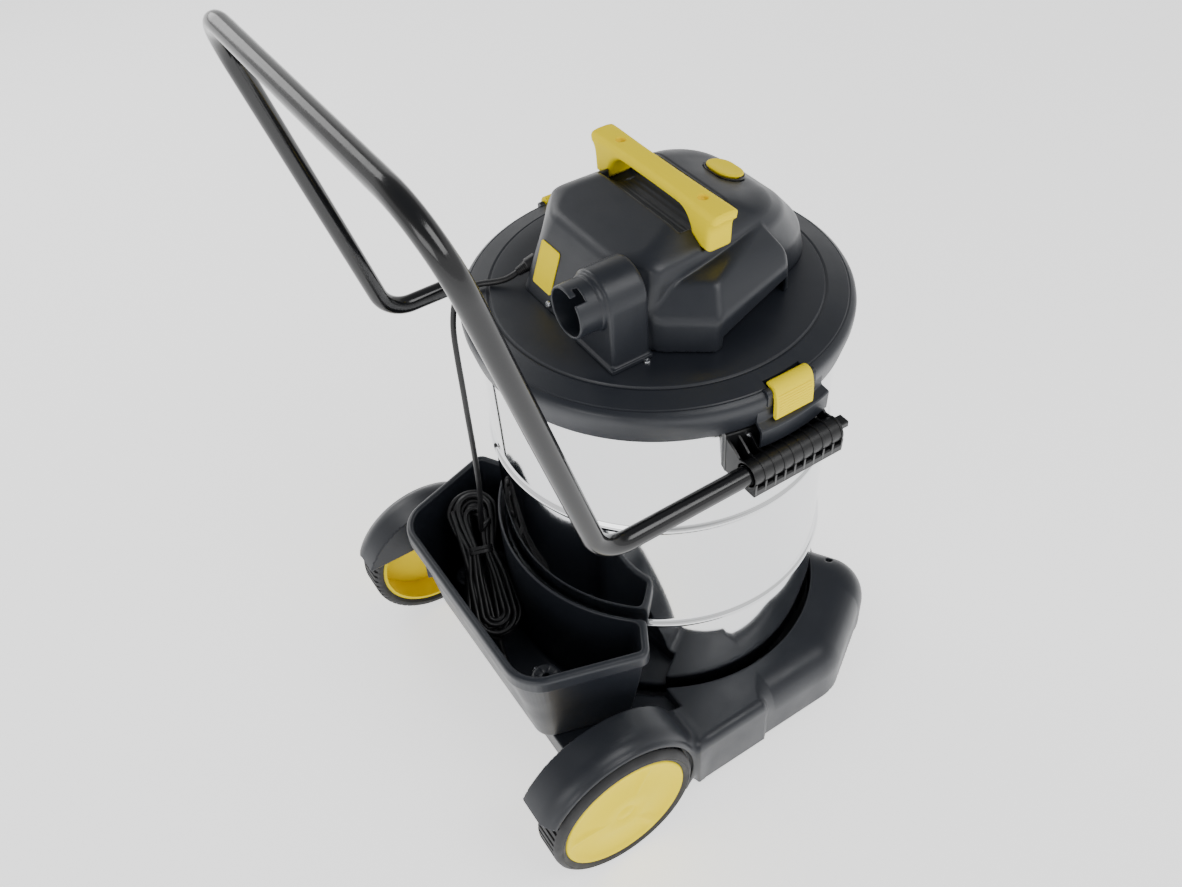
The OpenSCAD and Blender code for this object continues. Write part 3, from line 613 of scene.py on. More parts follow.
class Outline:
    """Signed distance from a closed outline of (x, y), looked up on a one-millimetre grid."""

    def __init__(self, points, margin=30):
        p = np.asarray(points, float)
        self.low = np.floor(p.min(0)) - margin
        size = (np.ceil(p.max(0)) + margin - self.low).astype(int) + 1
        x, y = np.meshgrid(*[np.arange(n) for n in size], indexing="ij")
        x, y = x + self.low[0], y + self.low[1]
        near = np.full(x.shape, np.inf)
        inside = np.zeros(x.shape, bool)
        for a, b in zip(p, np.roll(p, -1, axis=0)):
            d = b - a
            length = d @ d
            if length == 0:
                continue
            t = np.clip(((x - a[0]) * d[0] + (y - a[1]) * d[1]) / length, 0, 1)
            near = np.minimum(near, np.hypot(x - a[0] - t * d[0], y - a[1] - t * d[1]))
            if a[1] != b[1]:
                crosses = (a[1] > y) != (b[1] > y)
                inside ^= crosses & (x < (y - a[1]) * d[0] / d[1] + a[0])
        self.grid = np.where(inside, -near, near)

    def __call__(self, x, y):
        limit = np.array(self.grid.shape) - 1.001
        u = np.clip(x - self.low[0], 0, limit[0])
        v = np.clip(y - self.low[1], 0, limit[1])
        i, j = u.astype(int), v.astype(int)
        u, v = u - i, v - j
        g = self.grid
        return ((g[i, j] * (1 - u) + g[i + 1, j] * u) * (1 - v)
                + (g[i, j + 1] * (1 - u) + g[i + 1, j + 1] * u) * v)


def field_grid(field, low, count, step):
    """Field values on a grid; only the blocks near the surface are worked out point by point."""
    size = step * BLOCK
    starts = np.stack(np.meshgrid(*[np.arange(n) for n in count], indexing="ij"), -1).reshape(-1, 3)
    middle = field(low + (starts + 0.5) * size)
    grid = np.full(tuple(count * BLOCK + 1), 1e3)
    coarse = middle.reshape(tuple(count))
    for axis in range(3):
        coarse = np.repeat(coarse, BLOCK, axis)
    grid[:-1, :-1, :-1] = coarse
    offsets = np.stack(np.meshgrid(*[np.arange(BLOCK + 1)] * 3, indexing="ij"), -1).reshape(-1, 3)
    near = starts[np.abs(middle) < size * 1.25]
    for group in np.array_split(near, max(1, len(near) // 300)):
        points = low + (group[:, None] * BLOCK + offsets) * step
        values = field(points.reshape(-1, 3)).reshape(len(group), BLOCK + 1, BLOCK + 1, BLOCK + 1)
        for (i, j, k), block in zip(group * BLOCK, values):
            grid[i:i + BLOCK + 1, j:j + BLOCK + 1, k:k + BLOCK + 1] = block
    return grid


def surface_net(grid):
    """Points in grid units and quads of the zero surface, one point per crossed cell."""
    inside = grid < 0
    corners = [(i, j, k) for i in (0, 1) for j in (0, 1) for k in (0, 1)]
    n = grid.shape
    count = sum(inside[i:n[0] - 1 + i, j:n[1] - 1 + j, k:n[2] - 1 + k].astype(np.int8) for i, j, k in corners)
    cells = np.argwhere((count > 0) & (count < 8))
    ids = np.full(tuple(s - 1 for s in n), -1)
    ids[tuple(cells.T)] = np.arange(len(cells))
    total = np.zeros(cells.shape)
    hits = np.zeros(len(cells))
    for a in corners:
        for axis in range(3):
            if a[axis]:
                continue
            step = np.eye(3, dtype=int)[axis]
            va, vb = grid[tuple((cells + a).T)], grid[tuple((cells + a + step).T)]
            crossed = (va < 0) != (vb < 0)
            share = np.where(crossed, va / np.where(crossed, va - vb, 1), 0)
            total += crossed[:, None] * (np.array(a) + share[:, None] * step)
            hits += crossed
    points = cells + total / hits[:, None]
    faces = []
    for axis in range(3):
        step, u, v = (np.eye(3, dtype=int)[(axis + k) % 3] for k in range(3))
        ahead = np.roll(inside, -1, axis)
        for out, order in ((inside & ~ahead, (0, 1, 2, 3)), (~inside & ahead, (3, 2, 1, 0))):
            edge = np.argwhere(out)
            quad = np.stack([ids[tuple((edge - d).T)] for d in (0 * u, u, u + v, v)], 1)
            faces.append(quad[:, order])
    return points, np.vstack(faces)


def slope_of(field, p, reach):
    made = np.empty(p.shape)
    for axis in range(3):
        shift = np.eye(3)[axis] * reach
        made[:, axis] = (field(p + shift) - field(p - shift)) / (2 * reach)
    return made


def cast_piece(name, field, low, high, step, body, slot, replaces=(), reach=0.6):
    """A piece whose points lie on a field's zero surface, with the field's own normals."""
    low = np.asarray(low, float)
    count = np.ceil((np.asarray(high, float) - low) / (step * BLOCK)).astype(int)
    net, faces = surface_net(field_grid(field, low, count, step))
    points = low + net * step
    for _ in range(3):
        slope = slope_of(field, points, reach)
        move = field(points) / np.maximum((slope ** 2).sum(1), 0.25)
        points = points - np.clip(move, -step * 0.7, step * 0.7)[:, None] * slope
    slope = slope_of(field, points, reach)
    normals = slope / np.maximum(np.linalg.norm(slope, axis=1), 1e-9)[:, None]
    mesh = bpy.data.meshes.new(name)
    mesh.from_pydata(place(points).tolist(), [], faces.tolist())
    mesh.polygons.foreach_set("use_smooth", [True] * len(mesh.polygons))
    mesh.normals_split_custom_set_from_vertices(normals.tolist())
    return adopt(bpy.data.objects.new(name, mesh), body, slot, replaces, None)


# ---------------------------------------------------------------- motor cover

DECK_Z = 630
# Outline of the hump at several heights: height, rear corner x and y, side corner x and y, nose centre x and y,
# nose radius
HUMP = np.array([
    (600, 74, 131, 104, 86, 0, -100, 85),
    (630, 72, 128, 104, 85, 0, -100, 85),
    (665, 67, 115.5, 103, 81, 10, -92, 78),
    (705, 60, 101, 101, 71, 30, -72, 60),
    (722, 56, 94, 97, 65, 38, -62, 46),
    (740, 52, 87, 71, 52, 48, -28, 20),
    (760, 48, 80, 42, 38, 58, 6, 2)], float)
HUMP_TOP = 740
HUMP_Z = np.arange(600, 760.5, 1)
HUMP_TABLE = [np.interp(HUMP_Z, HUMP[:, 0], HUMP[:, k]) for k in range(1, 8)]
HUMP_SOFT = np.ones(9) / 9
HUMP_TABLE = [np.convolve(np.pad(row, 4, "edge"), HUMP_SOFT, "valid") for row in HUMP_TABLE]
OUTLET_X, OUTLET_Z, OUTLET_R = -75.5, 700, 25
BLOCK_Y = 84
SWITCH = np.array([0, -92, 725.0])
SWITCH_TILT = math.radians(14)
FOOT_Z = 718.2


def hump_outline(x, y, z):
    """Distance from the hump's outline at height z, measured level."""
    rx, ry, sx, sy, cx, cy, r = (np.interp(z, HUMP_Z, row) for row in HUMP_TABLE)
    nx, ny = ry - sy, sx - rx
    chamfer = ((x - rx) * nx + (y - ry) * ny) / np.hypot(nx, ny)
    wx, wy = sx - cx, -cy
    lean = np.arctan2(wy, wx) - np.arccos(np.clip(r / np.hypot(wx, wy), -1, 1))
    qx, qy = np.maximum(x - cx, 0), y - cy
    nose = np.where(np.arctan2(qy, qx) < lean, np.hypot(qx, qy) - r,
                    (x - cx) * np.cos(lean) + qy * np.sin(lean) - r)
    return joined_max([y - ry, chamfer, smooth_max(x - sx, nose, 14)], 8)


def hump_field(p):
    x, y, z = np.abs(p[:, 0]), p[:, 1], p[:, 2]
    level = hump_outline(x, y, z)
    climb = (hump_outline(x, y, z + 1) - hump_outline(x, y, z - 1)) / 2
    roof = (z - HUMP_TOP + 0.245 * np.maximum(y - 22, 0)) * 0.975
    crease = (z - 740 + (x - 65) * 0.56) * 0.87
    return joined_max([level / np.hypot(1, climb), roof, crease], 7)


POD_IN = (92, -10, 655)
POD_WALL = [(109.4, 75.8, 670), (148.1, 24.9, 670), (124, -83.1, 670)]
POD_TOP = [(127, 12.5, 700), (102, 39, 700), (85.5, -73, 716), (111.3, -87.4, 690)]


def pod_field(p):
    """A side pod, faceted as if cut with a knife, its lower front edge tucked in."""
    q = np.column_stack([np.abs(p[:, 0]), p[:, 1:]])
    (rear, corner, front), (peak, start, tip, brow) = POD_WALL, POD_TOP
    x, y, z = q.T
    share = np.clip((z - 632) / 58, -0.2, 1.3)
    wall = (145 + (y - 24.2) * 0.3074) * (1 - share) + (149.7 + (y - 25) * 0.2377) * share
    planes = [(rear, corner, (108.5, 78.7, 632)), (rear, corner, peak), (corner, front, peak),
              (peak, brow, tip), (peak, start, tip), (front, brow, (107, -99.4, 632)), (brow, tip, (98, -112, 632))]
    planes.append((rear, (95, 84, 670), (95, 84, 632)))
    solid = joined_max([plane_field(q, *three, POD_IN) for three in planes] + [(x - wall) * 0.96], 4)
    return np.maximum(solid, 78 - x)


def local_switch(p):
    """Switch coordinates: across, up the slope and out of it."""
    x, y, z = (p - SWITCH).T
    c, s = math.cos(SWITCH_TILT), math.sin(SWITCH_TILT)
    return x, y * c + z * s, z * c - y * s


def slot_top(y):
    """Height of the exhaust slot's upper edge."""
    return np.interp(y, (-90, 18), (655.5, 645))


def cover_field(p):
    """Hump and side pods as one shell, with the grip's hollow and feet, the switch's seat, slots and bore."""
    x, y, z = np.abs(p[:, 0]), p[:, 1], p[:, 2]
    hump, pod = hump_field(p), pod_field(p)
    outer = smooth_min(hump, pod, 2.5)
    shell = smooth_max(outer, -(np.minimum(hump, pod) + 4.6), 2)
    ripple = 0.5 * np.cos(y * 2 * math.pi / 7.5) * np.clip(1 - np.abs(y + 12) / 32, 0, 1)
    shell = np.minimum(shell, np.maximum.reduce([outer, rod_along_x(p, -12, 757, 44.6), x - 76.6]))
    shell = smooth_max(shell, -np.maximum(rod_along_x(p, -12, 757, 40) + ripple * 0.6, x - 72), 3)
    foot = np.maximum.reduce([between(x, 66, 113), between(y, -25.3, 8.3), FOOT_Z - 0.3 - z])
    pad = np.maximum.reduce([between(x, 64, 106), between(y, -30, 13), between(z, 690, FOOT_Z - 0.3)])
    shell = np.maximum(np.minimum(shell, np.maximum(pad, outer)), -foot)
    u, v, w = local_switch(p)
    seat = np.maximum.reduce([oval_field(u, v, 60, 48), w - 0.3, -6 - w, outer])
    shell = np.maximum(np.minimum(shell, seat), -np.maximum(oval_field(u, v, 50.6, 38.6), 0.3 - w))
    shell = np.maximum(shell, -np.maximum(oval_field(u, v, 42, 30), -12 - w))
    slot = np.maximum.reduce([100 - x, between(y, -92, 18), z - slot_top(y)])
    shell = smooth_max(shell, -slot, 2)
    bore = np.maximum(np.hypot(p[:, 0] - OUTLET_X, z - OUTLET_Z) - OUTLET_R, BLOCK_Y + 0.3 - y)
    shell = np.maximum(shell, -bore)
    low = np.where(pod < hump, DECK_Z + 1.2, DECK_Z + 0.2)
    return np.maximum(shell, low - z)


def make_cover():
    cast_piece("motor_cover", cover_field, (-158, -200, 624), (158, 140, 752), 2.3, "head", "slate_plastic",
               ("head_cover",))


SLAT_Y = np.arange(-84, 15, 7.0)
SLAT_THICK, SLAT_LEAN = 2.0, 0.12


def make_grilles():
    """Upright slats that fill each exhaust slot, leaning with the air."""
    for name, side in SIDES.items():
        shells = []
        for y in SLAT_Y:
            wall = 118 + (y - 14) * 0.27
            top = float(slot_top(y)) - 0.5
            outline = [(wall - 22, DECK_Z + 0.4), (wall + 3.4, DECK_Z + 0.4), (wall + 6.2, top), (wall - 22, top)]
            points, faces = upright(outline, y, y + SLAT_THICK, side)
            shells.append(([(px, py + SLAT_LEAN * (side * px - wall), pz) for px, py, pz in points], faces))
        bevelled(piece("exhaust_slats_" + name, *collect(shells), "head", "black_plastic", ("exhaust_grilles",)),
                 0.5, 2)


# ---------------------------------------------------------------- blower outlet, plate and switch


NOTCH_TURN = math.radians(35)


def blower_field(p):
    """Arched block with a foot, a hose stub and the stub's bayonet notch."""
    x, y, z = p[:, 0] - OUTLET_X, p[:, 1], p[:, 2]
    arch = np.where(z > OUTLET_Z, np.hypot(x, z - OUTLET_Z) - 33.5, np.abs(x) - 33.5)
    block = smooth_max(arch, between(y, BLOCK_Y, 130), 5)
    flange = smooth_max(np.maximum(np.abs(x) - 36.5, z - 635.5), between(y, 82, 133), 3)
    rim = np.hypot(x, z - OUTLET_Z)
    stub = smooth_max(rim - 28.2, between(y, 100, 160), 2.5)
    collar = smooth_max(rim - 29.8, between(y, 128, 134.5), 1.5)
    solid = smooth_min(smooth_min(smooth_min(block, flange, 3), stub, 2.5), collar, 1)
    solid = smooth_max(solid, OUTLET_R - rim, 1.5)
    u = x * math.cos(NOTCH_TURN) + (z - OUTLET_Z) * math.sin(NOTCH_TURN)
    v = -x * math.sin(NOTCH_TURN) + (z - OUTLET_Z) * math.cos(NOTCH_TURN)
    notch = np.maximum.reduce([np.abs(u) - 4.2, 20 - v, 147 - y])
    hook = np.maximum.reduce([between(u, -4.2, 12), 20 - v, between(y, 147, 153)])
    solid = smooth_max(solid, -np.minimum(notch, hook), 1)
    solid = np.maximum(solid, -(hump_field(p) + 1.5))
    solid = np.maximum(solid, -(pod_field(p) + 1.5))
    return np.maximum(solid, DECK_Z + 0.2 - z)


def ringed(rings):
    """Points and faces of loops of equal length stacked into a closed body."""
    n = len(rings[0])
    points = [p for ring in rings for p in ring]
    faces = [(i * n + k, i * n + (k + 1) % n, (i + 1) * n + (k + 1) % n, (i + 1) * n + k)
             for i in range(len(rings) - 1) for k in range(n)]
    last = (len(rings) - 1) * n
    return points, faces + [tuple(range(n))[::-1], tuple(range(last, last + n))]


OVAL_POINTS = 72


def oval_ring(length, width, height):
    reach = (length - width) / 2
    made = []
    for k in range(OVAL_POINTS):
        a = 2 * math.pi * k / OVAL_POINTS
        made.append((math.copysign(reach, math.cos(a)) + width / 2 * math.cos(a), width / 2 * math.sin(a), height))
    return made


def on_switch(points):
    """From switch coordinates to millimetres from the drum's axis."""
    c, s = math.cos(SWITCH_TILT), math.sin(SWITCH_TILT)
    return [(x, SWITCH[1] + y * c - z * s, SWITCH[2] + y * s + z * c) for x, y, z in points]


def make_switch():
    """Bezel and rocker, each a stack of ovals given as length, width and height."""
    bezel = [(41.6, 29.6, -7.6), (41.6, 29.6, 0.5), (49.6, 37.6, 0.5), (50.0, 38.0, 0.9), (50.0, 38.0, 2.9),
             (49.2, 37.2, 3.6), (47.8, 35.8, 3.7), (46.6, 34.6, 3.0), (46.4, 34.4, 1.2), (39.4, 27.4, 1.2),
             (38.6, 26.6, 0.4), (38.6, 26.6, -5.0), (30, 18, -5.0), (30, 18, -7.6)]
    points, faces = ringed([oval_ring(*ring) for ring in bezel])
    n = OVAL_POINTS
    last = (len(bezel) - 1) * n
    faces = faces[:-2] + [(last + k, last + (k + 1) % n, (k + 1) % n, k) for k in range(n)]
    piece("switch_frame", on_switch(points), faces, "head", "black_plastic", ("switch_bezel",))
    cap = [(38, 26, -0.9), (38, 26, 4.5), (45.0, 33.0, 4.7), (45.6, 33.6, 5.0), (45.6, 33.6, 5.8),
           (45.0, 33.0, 6.4), (43.6, 31.6, 6.9), (41.0, 29.0, 7.0), (34, 22, 6.75), (24, 12.2, 6.5), (14, 3, 6.45)]
    points, faces = ringed([oval_ring(*ring) for ring in cap])
    piece("switch_rocker", on_switch(points), faces, "switch", "yellow_plastic", ("switch_button",), 40)


PLATE_HALF = (18, 25)
PLATE_AT, PLATE_LEAN = (39, 114.05, 669), math.radians(19.8)


def make_plate():
    """Blank rating plate with rounded corners and a raised border."""
    rings = []
    for inset, out, radius in ((0, 0.1, 3), (0, 0.9, 3), (0.4, 1.2, 2.6), (1.4, 1.2, 2), (1.7, 0.9, 1.8)):
        reach = [half - inset - radius for half in PLATE_HALF]
        rings.append([(x, out, y) for cx, cy, start in ((1, 1, 0), (-1, 1, 90), (-1, -1, 180), (1, -1, 270))
                      for x, y in arc((cx * reach[0], cy * reach[1]), radius, start, start + 90, 6)])
    points, faces = ringed(rings)
    c, s = math.cos(PLATE_LEAN), math.sin(PLATE_LEAN)
    leant = [(PLATE_AT[0] + x, PLATE_AT[1] + y * c - z * s, PLATE_AT[2] + y * s + z * c) for x, y, z in points]
    piece("rating_plate", leant, faces, "head", "yellow_plastic", ("spec_plate",))


# ---------------------------------------------------------------- carry handle

GRIP_OUTLINE = ([(108, 763), (110, 760), (109, 755)] + arc((122, 738), 20, 125, 180, 8)
                + [(101, FOOT_Z), (79, FOOT_Z)] + arc((46, 724), 27, 0, 90, 10))
GRIP = Outline(GRIP_OUTLINE + [(-x, z) for x, z in GRIP_OUTLINE[::-1]])
GRIP_SCREW_X, GRIP_Y = 72, -8.5


def grip_field(p):
    """A crowned bar on two flared feet, its sides drawn in at the middle, with a well for each screw."""
    x, y, z = p[:, 0], p[:, 1] - GRIP_Y, p[:, 2]
    crown = (y / 16.5) ** 2 * 1.6
    waist = 16.5 - 1.6 * np.clip((z - 735) / 20, 0, 1) * np.clip(1 - (x / 95) ** 2, 0, 1)
    body = smooth_max(GRIP(x, z + np.where(z > 752, crown, 0)), (np.abs(y) - waist), 7)
    wells = np.maximum(np.hypot(np.abs(x) - GRIP_SCREW_X, y) - 5.6, 757 - z)
    return np.maximum(smooth_max(body, -wells, 1.6), FOOT_Z - z)


def make_grip():
    cast_piece("carry_grip", grip_field, (-116, -30, 714), (116, 14, 768), 1.35, "head", "yellow_plastic",
               ("carry_handle",), 0.4)


# ---------------------------------------------------------------- chassis and tray

EAR, EAR_R = (155, -168), 55
SHOULDER, SHOULDER_R = (200, -80), 62
SIDE_X, POCKET_X, POCKET_Y = 268, 216, 133
CHASSIS_TOP, CHASSIS_LOW = 135, 50
WELL_R, DRUM_LOW = 209, 100
AXLE_Y, WHEEL_R = 247, 100
FENDER_R, FENDER_X = 117, 256
CHASSIS_HALF = (arc((0, 0), 224, 270, 297, 8) + arc(EAR, EAR_R, 245, 340, 20) + arc(SHOULDER, SHOULDER_R, -30, 0, 8)
                + [(262, 20), (SIDE_X, 27), (SIDE_X, POCKET_Y), (POCKET_X, POCKET_Y), (POCKET_X, 250), (198, 268)])
CHASSIS_PLAN = Outline(CHASSIS_HALF + [(-x, y) for x, y in CHASSIS_HALF[::-1]])


def chassis_field(p):
    """The base as a hollow moulding: body with mudguards, less its inside, the drum's well and the holes."""
    x, y, z = np.abs(p[:, 0]), p[:, 1], p[:, 2]
    plan = CHASSIS_PLAN(p[:, 0], y)
    reach = np.hypot(p[:, 0], y)
    wheel = np.hypot(y - AXLE_Y, z - WHEEL_R)
    soft = np.interp(y, (8, 30), (44, 15))
    body = smooth_max(plan, z - CHASSIS_TOP - 1, soft)
    inner = body + 6
    guard = smooth_max(wheel - FENDER_R - 1, x - FENDER_X - 12, 28)
    dome = np.maximum(guard, POCKET_X - 5.4 - x)
    lip = np.hypot(wheel - 106.2, x - FENDER_X - 7) - 3.0
    body = smooth_min(body, smooth_min(dome, lip, 3), 18)
    inner = np.maximum(inner, -np.maximum(reach - WELL_R - 5.2, DRUM_LOW - 5.2 - z))
    inner = np.maximum(inner, -np.maximum.reduce([x - 211, 112.8 - y, 110.6 - z]))
    inner = np.maximum(inner, -np.maximum(np.hypot(x - EAR[0], y - EAR[1]) - 12, 72 - z))
    inner = np.maximum(inner, -np.maximum(wheel - 16, POCKET_X - 30 - x))
    body = smooth_max(body, -inner, 1.5)
    body = smooth_max(body, -np.maximum(reach - WELL_R, DRUM_LOW - z), 3)
    body = smooth_max(body, -np.maximum.reduce([x - 206, 118 - y, 116 - z]), 3)
    body = np.maximum(body, -np.maximum.reduce([x - 212, 200 - y, z - 82]))
    body = np.maximum(body, -np.maximum.reduce([211 - x, AXLE_Y - 1 - y, z - 152]))
    void = np.maximum(np.minimum(guard + 5.2, wheel - 103.5), POCKET_X - x)
    body = smooth_max(body, -void, 1.5)
    body = np.maximum(body, -np.maximum(wheel - 8.1, POCKET_X - 40 - x))
    body = np.maximum(body, -np.maximum(np.hypot(x - EAR[0], y - EAR[1]) - 5.6, z - 126))
    body = smooth_max(body, -np.maximum(np.hypot(x - 135, y + 194) - 4.6, 118 - z), 1.5)
    return np.maximum(body, CHASSIS_LOW - z)


def make_chassis():
    cast_piece("base_moulding", chassis_field, (-276, -232, 44), (276, 376, 226), 2.6, "root", "slate_plastic",
               ("chassis",))


TRAY_RIM, TRAY_LOW, TRAY_FRONT_R = 283, 116, 212


def tray_outline():
    """Convex outline round three circles each side."""
    points = []
    for cx, cy, r in ((122, 260, 50), (188, 168, 15), (150, 140, 10)):
        points += [(s * (cx + r * math.cos(a)), cy + r * math.sin(a))
                   for a in np.linspace(0, 2 * math.pi, 49)[:-1] for s in (-1, 1)]
    points.sort()
    hull = []
    for row in (points, points[::-1]):
        chain = []
        for q in row:
            while len(chain) > 1 and ((chain[-1][0] - chain[-2][0]) * (q[1] - chain[-2][1])
                                      - (chain[-1][1] - chain[-2][1]) * (q[0] - chain[-2][0])) <= 0:
                chain.pop()
            chain.append(q)
        hull += chain[:-1]
    return hull


TRAY_PLAN = Outline(tray_outline())


def tray_field(p):
    """A tapered open box with a rolled band round its rim, its front wall curved to the drum."""
    x, y, z = p[:, 0], p[:, 1], p[:, 2]
    plan = TRAY_PLAN(x, y)
    reach = np.hypot(x, y)
    draft = np.interp(z, (TRAY_LOW, 262), (28, 6))
    wall = smooth_max(plan + draft, TRAY_LOW - z, 12)
    band = smooth_max(smooth_max(plan, z - TRAY_RIM, 7), 260 - z, 3)
    body = smooth_min(np.maximum(wall, z - 270), band, 4)
    drop = np.interp(z, (TRAY_LOW, TRAY_RIM), (32.6, 9.5))
    inner = smooth_max(smooth_max(plan + drop, TRAY_LOW + 4 - z, 10), TRAY_FRONT_R + 4 - reach, 8)
    body = smooth_max(body, -inner, 3.5)
    body = smooth_max(body, TRAY_FRONT_R - reach, 2)
    return np.maximum(body, 126 - y)


def make_tray():
    cast_piece("cord_tray", tray_field, (-216, 120, 112), (216, 318, 290), 2.4, "root", "slate_plastic",
               ("rear_tray",), 0.8)


def spun(columns, whole=True):
    """Closed profiles of (radius, height), one per angle in degrees, joined about the Z axis."""
    points = [(r * math.cos(math.radians(a)), r * math.sin(math.radians(a)), z) for a, profile in columns
              for r, z in profile]
    count, n = len(columns), len(columns[0][1])
    faces = []
    for i in range(count if whole else count - 1):
        a, b = i * n, ((i + 1) % count) * n
        faces += [(a + k, b + k, b + (k + 1) % n, a + (k + 1) % n) for k in range(n)]
    if not whole:
        faces += [tuple(range(n)), tuple(range((count - 1) * n, count * n))[::-1]]
    return points, faces


PEG, PEG_TOP = (100, 248), 185


def make_pegs():
    """Hollow accessory pegs with a faint rosette round the centre hole."""
    columns = []
    for a in np.arange(0, 360, 3.75):
        petal = 0.9 * max(0, math.cos(math.radians(8 * a))) ** 2
        top = [(19.4, PEG_TOP - 3.2), (18.6, PEG_TOP - 1.1), (16.8, PEG_TOP - 0.1), (14.5, PEG_TOP),
               (12.5, PEG_TOP - 0.3 - petal), (9.0, PEG_TOP - 0.4 - petal), (6.8, PEG_TOP - 0.2),
               (5.0, PEG_TOP), (4.5, PEG_TOP - 0.6), (4.5, 160)]
        columns.append((a, [(0.4, 119.2), (23, 119.2), (23, 121.6), (21.2, 123.2), (20.3, 126)] + top + [(0.4, 160)]))
    points, faces = spun(columns)
    for name, side in SIDES.items():
        moved = [(side * PEG[0] + x, PEG[1] + y, z) for x, y, z in points]
        piece("tray_peg_" + name, moved, faces, "root", "slate_plastic", ("accessory_pegs",), 38)


# ---------------------------------------------------------------- lid and drum

LATCH_Y, LATCH_W = -10, 48
LATCH_PIN = (214.5, 619)


def lid_profile(notched):
    """Lid section from the bowl out to the skirt; where notched, the rim is cut back for a latch."""
    bowl = [(24, 538), (24, 541.5), (76, 541.5), (79, 543), (80, 546), (80, 626), (81.5, 629.2), (84, DECK_Z)]
    deck = [(120, DECK_Z), (160, DECK_Z), (182.6, DECK_Z), (184.2, 629.6), (185.0, 628.2), (185.8, 627.4),
            (187.0, 627.6), (188.4, 628.0), (201.4, 624.9)]
    edge = [(205.5, 623.9), (210.4, 622.6), (211.4, 621.6), (212.2, 621.4), (213.2, 621.6), (215.6, 620.2),
            (217.8, 618.3), (219.3, 616.0), (220.0, 613), (219.9, 609.4), (219.4, 604), (214.2, 584),
            (213.5, 581.4), (212.6, 580.6), (211.2, 580.6), (210.4, 581.4), (210.2, 584), (209.8, 604),
            (209.6, 612), (199.2, 612)]
    cut = [(202, 624.6), (202, 612.8), (209.4, 612.8)] + [(218.8, 612.8)] * 5 + [(218.8, 602.0)]
    cut += [(218.7, 600)] * 2 + edge[11:]
    under = [(198.6, 611), (198.6, 588), (195.6, 588), (195.6, 624), (84, 627), (83.5, 538)]
    if notched:
        return bowl + deck + cut + under
    return bowl + deck + edge + under


def make_lid():
    """The lid with its two latch notches, a boss under each and the cheeks that hold the pins."""
    half = LATCH_W / 2 + 1
    low, high = (math.degrees(math.asin((LATCH_Y + end * half) / 211)) for end in (-1, 1))
    stops = [(low, high), (180 - high, 180 - low)]
    angles = [(a, any(s < a < e for s, e in stops)) for a in np.arange(0, 360, 1.5)]
    for start, end in stops:
        angles += [(start % 360, False), (start % 360 + 0.01, True), (end % 360 - 0.01, True), (end % 360, False)]
    angles = sorted({a: n for a, n in angles}.items())
    angles = [(a, n or any(s < a - 360 < e for s, e in stops)) for a, n in angles]
    points, faces = spun([(a, lid_profile(n)) for a, n in angles])
    piece("lid_moulding", points, faces, "head", "slate_plastic", ("lid",), 24)
    boss = [(212.4, 603), (217.4, 603), (218.4, 602), (218.4, 590), (219.2, 587.6), (227.4, 583.8),
            (228.5, 582.2), (227.7, 561), (227.0, 559.5), (225.6, 559.5), (224.8, 561), (225.0, 577.6),
            (224.2, 579.2), (213.2, 585.4)]
    cheek = [(211.5, 606), (220.4, 606), (220.4, 618)] + arc(LATCH_PIN, 5.8, 0, 140, 10) + [(209.9, 616)]
    for name, side in SIDES.items():
        points, faces = spun([(a, boss) for a in np.linspace(-16, 8, 25)], False)
        bevelled(piece("lid_boss_" + name, [(side * x, y, z) for x, y, z in points], faces, "head",
                       "slate_plastic"), 0.8, 2)
        shells = [upright(cheek, LATCH_Y + end * (half + 3.2) - 3, LATCH_Y + end * (half + 3.2) + 3, side)
                  for end in (-1, 1)]
        bevelled(piece("lid_cheeks_" + name, *collect(shells), "head", "slate_plastic"), 0.7, 2)


DRUM_R, DRUM_TOP = 204.2, 604
BEADS = (266, 436)


def make_drum():
    """Rolled stainless shell: two beads, a curled rim and a rounded lower edge, cut where the hose inlet enters."""
    outside = [(DRUM_R - 6, 100), (DRUM_R - 3.4, 100.8), (DRUM_R - 1.2, 102.8), (DRUM_R, 106)]
    for z in BEADS:
        outside += [(DRUM_R, z - 9)]
        outside += [(DRUM_R + 4.4 * math.cos(math.pi * t / 2) ** 2, z + 7.5 * t) for t in np.linspace(-1, 1, 13)]
        outside += [(DRUM_R, z + 9)]
    outside += [(DRUM_R, 560), (DRUM_R, DRUM_TOP - 8)]
    curl = arc((DRUM_R + 0.3, DRUM_TOP - 3.5), 3.5, -70, 160, 12)
    inside = [(r - 1.2, z) for r, z in outside[::-1][:-2]] + [(DRUM_R - 3.6, 102.4), (DRUM_R - 6.0, 101.2)]
    points, faces = turned(outside + curl + inside, 256)
    shell = piece("drum_wall", points, faces, "root", "polished_steel", ("drum_shell",), 50)
    points, faces = rod(INLET_R + 3.6, -8, 8, 48)
    drilled(shell, [(x, -DRUM_R + z, INLET_Z + y) for x, y, z in points], faces)
    base = [(0.01, 100), (DRUM_R - 6.1, 100), (DRUM_R - 6.1, 101.2), (150, 101.2), (146, 102), (60, 102),
            (56, 101.2), (0.01, 101.2)]
    points, faces = turned(base, 160, closed=False)
    piece("drum_bottom", points, faces, "root", "polished_steel", ("drum_base",), 40)


INLET_R, INLET_Z = 29, 500


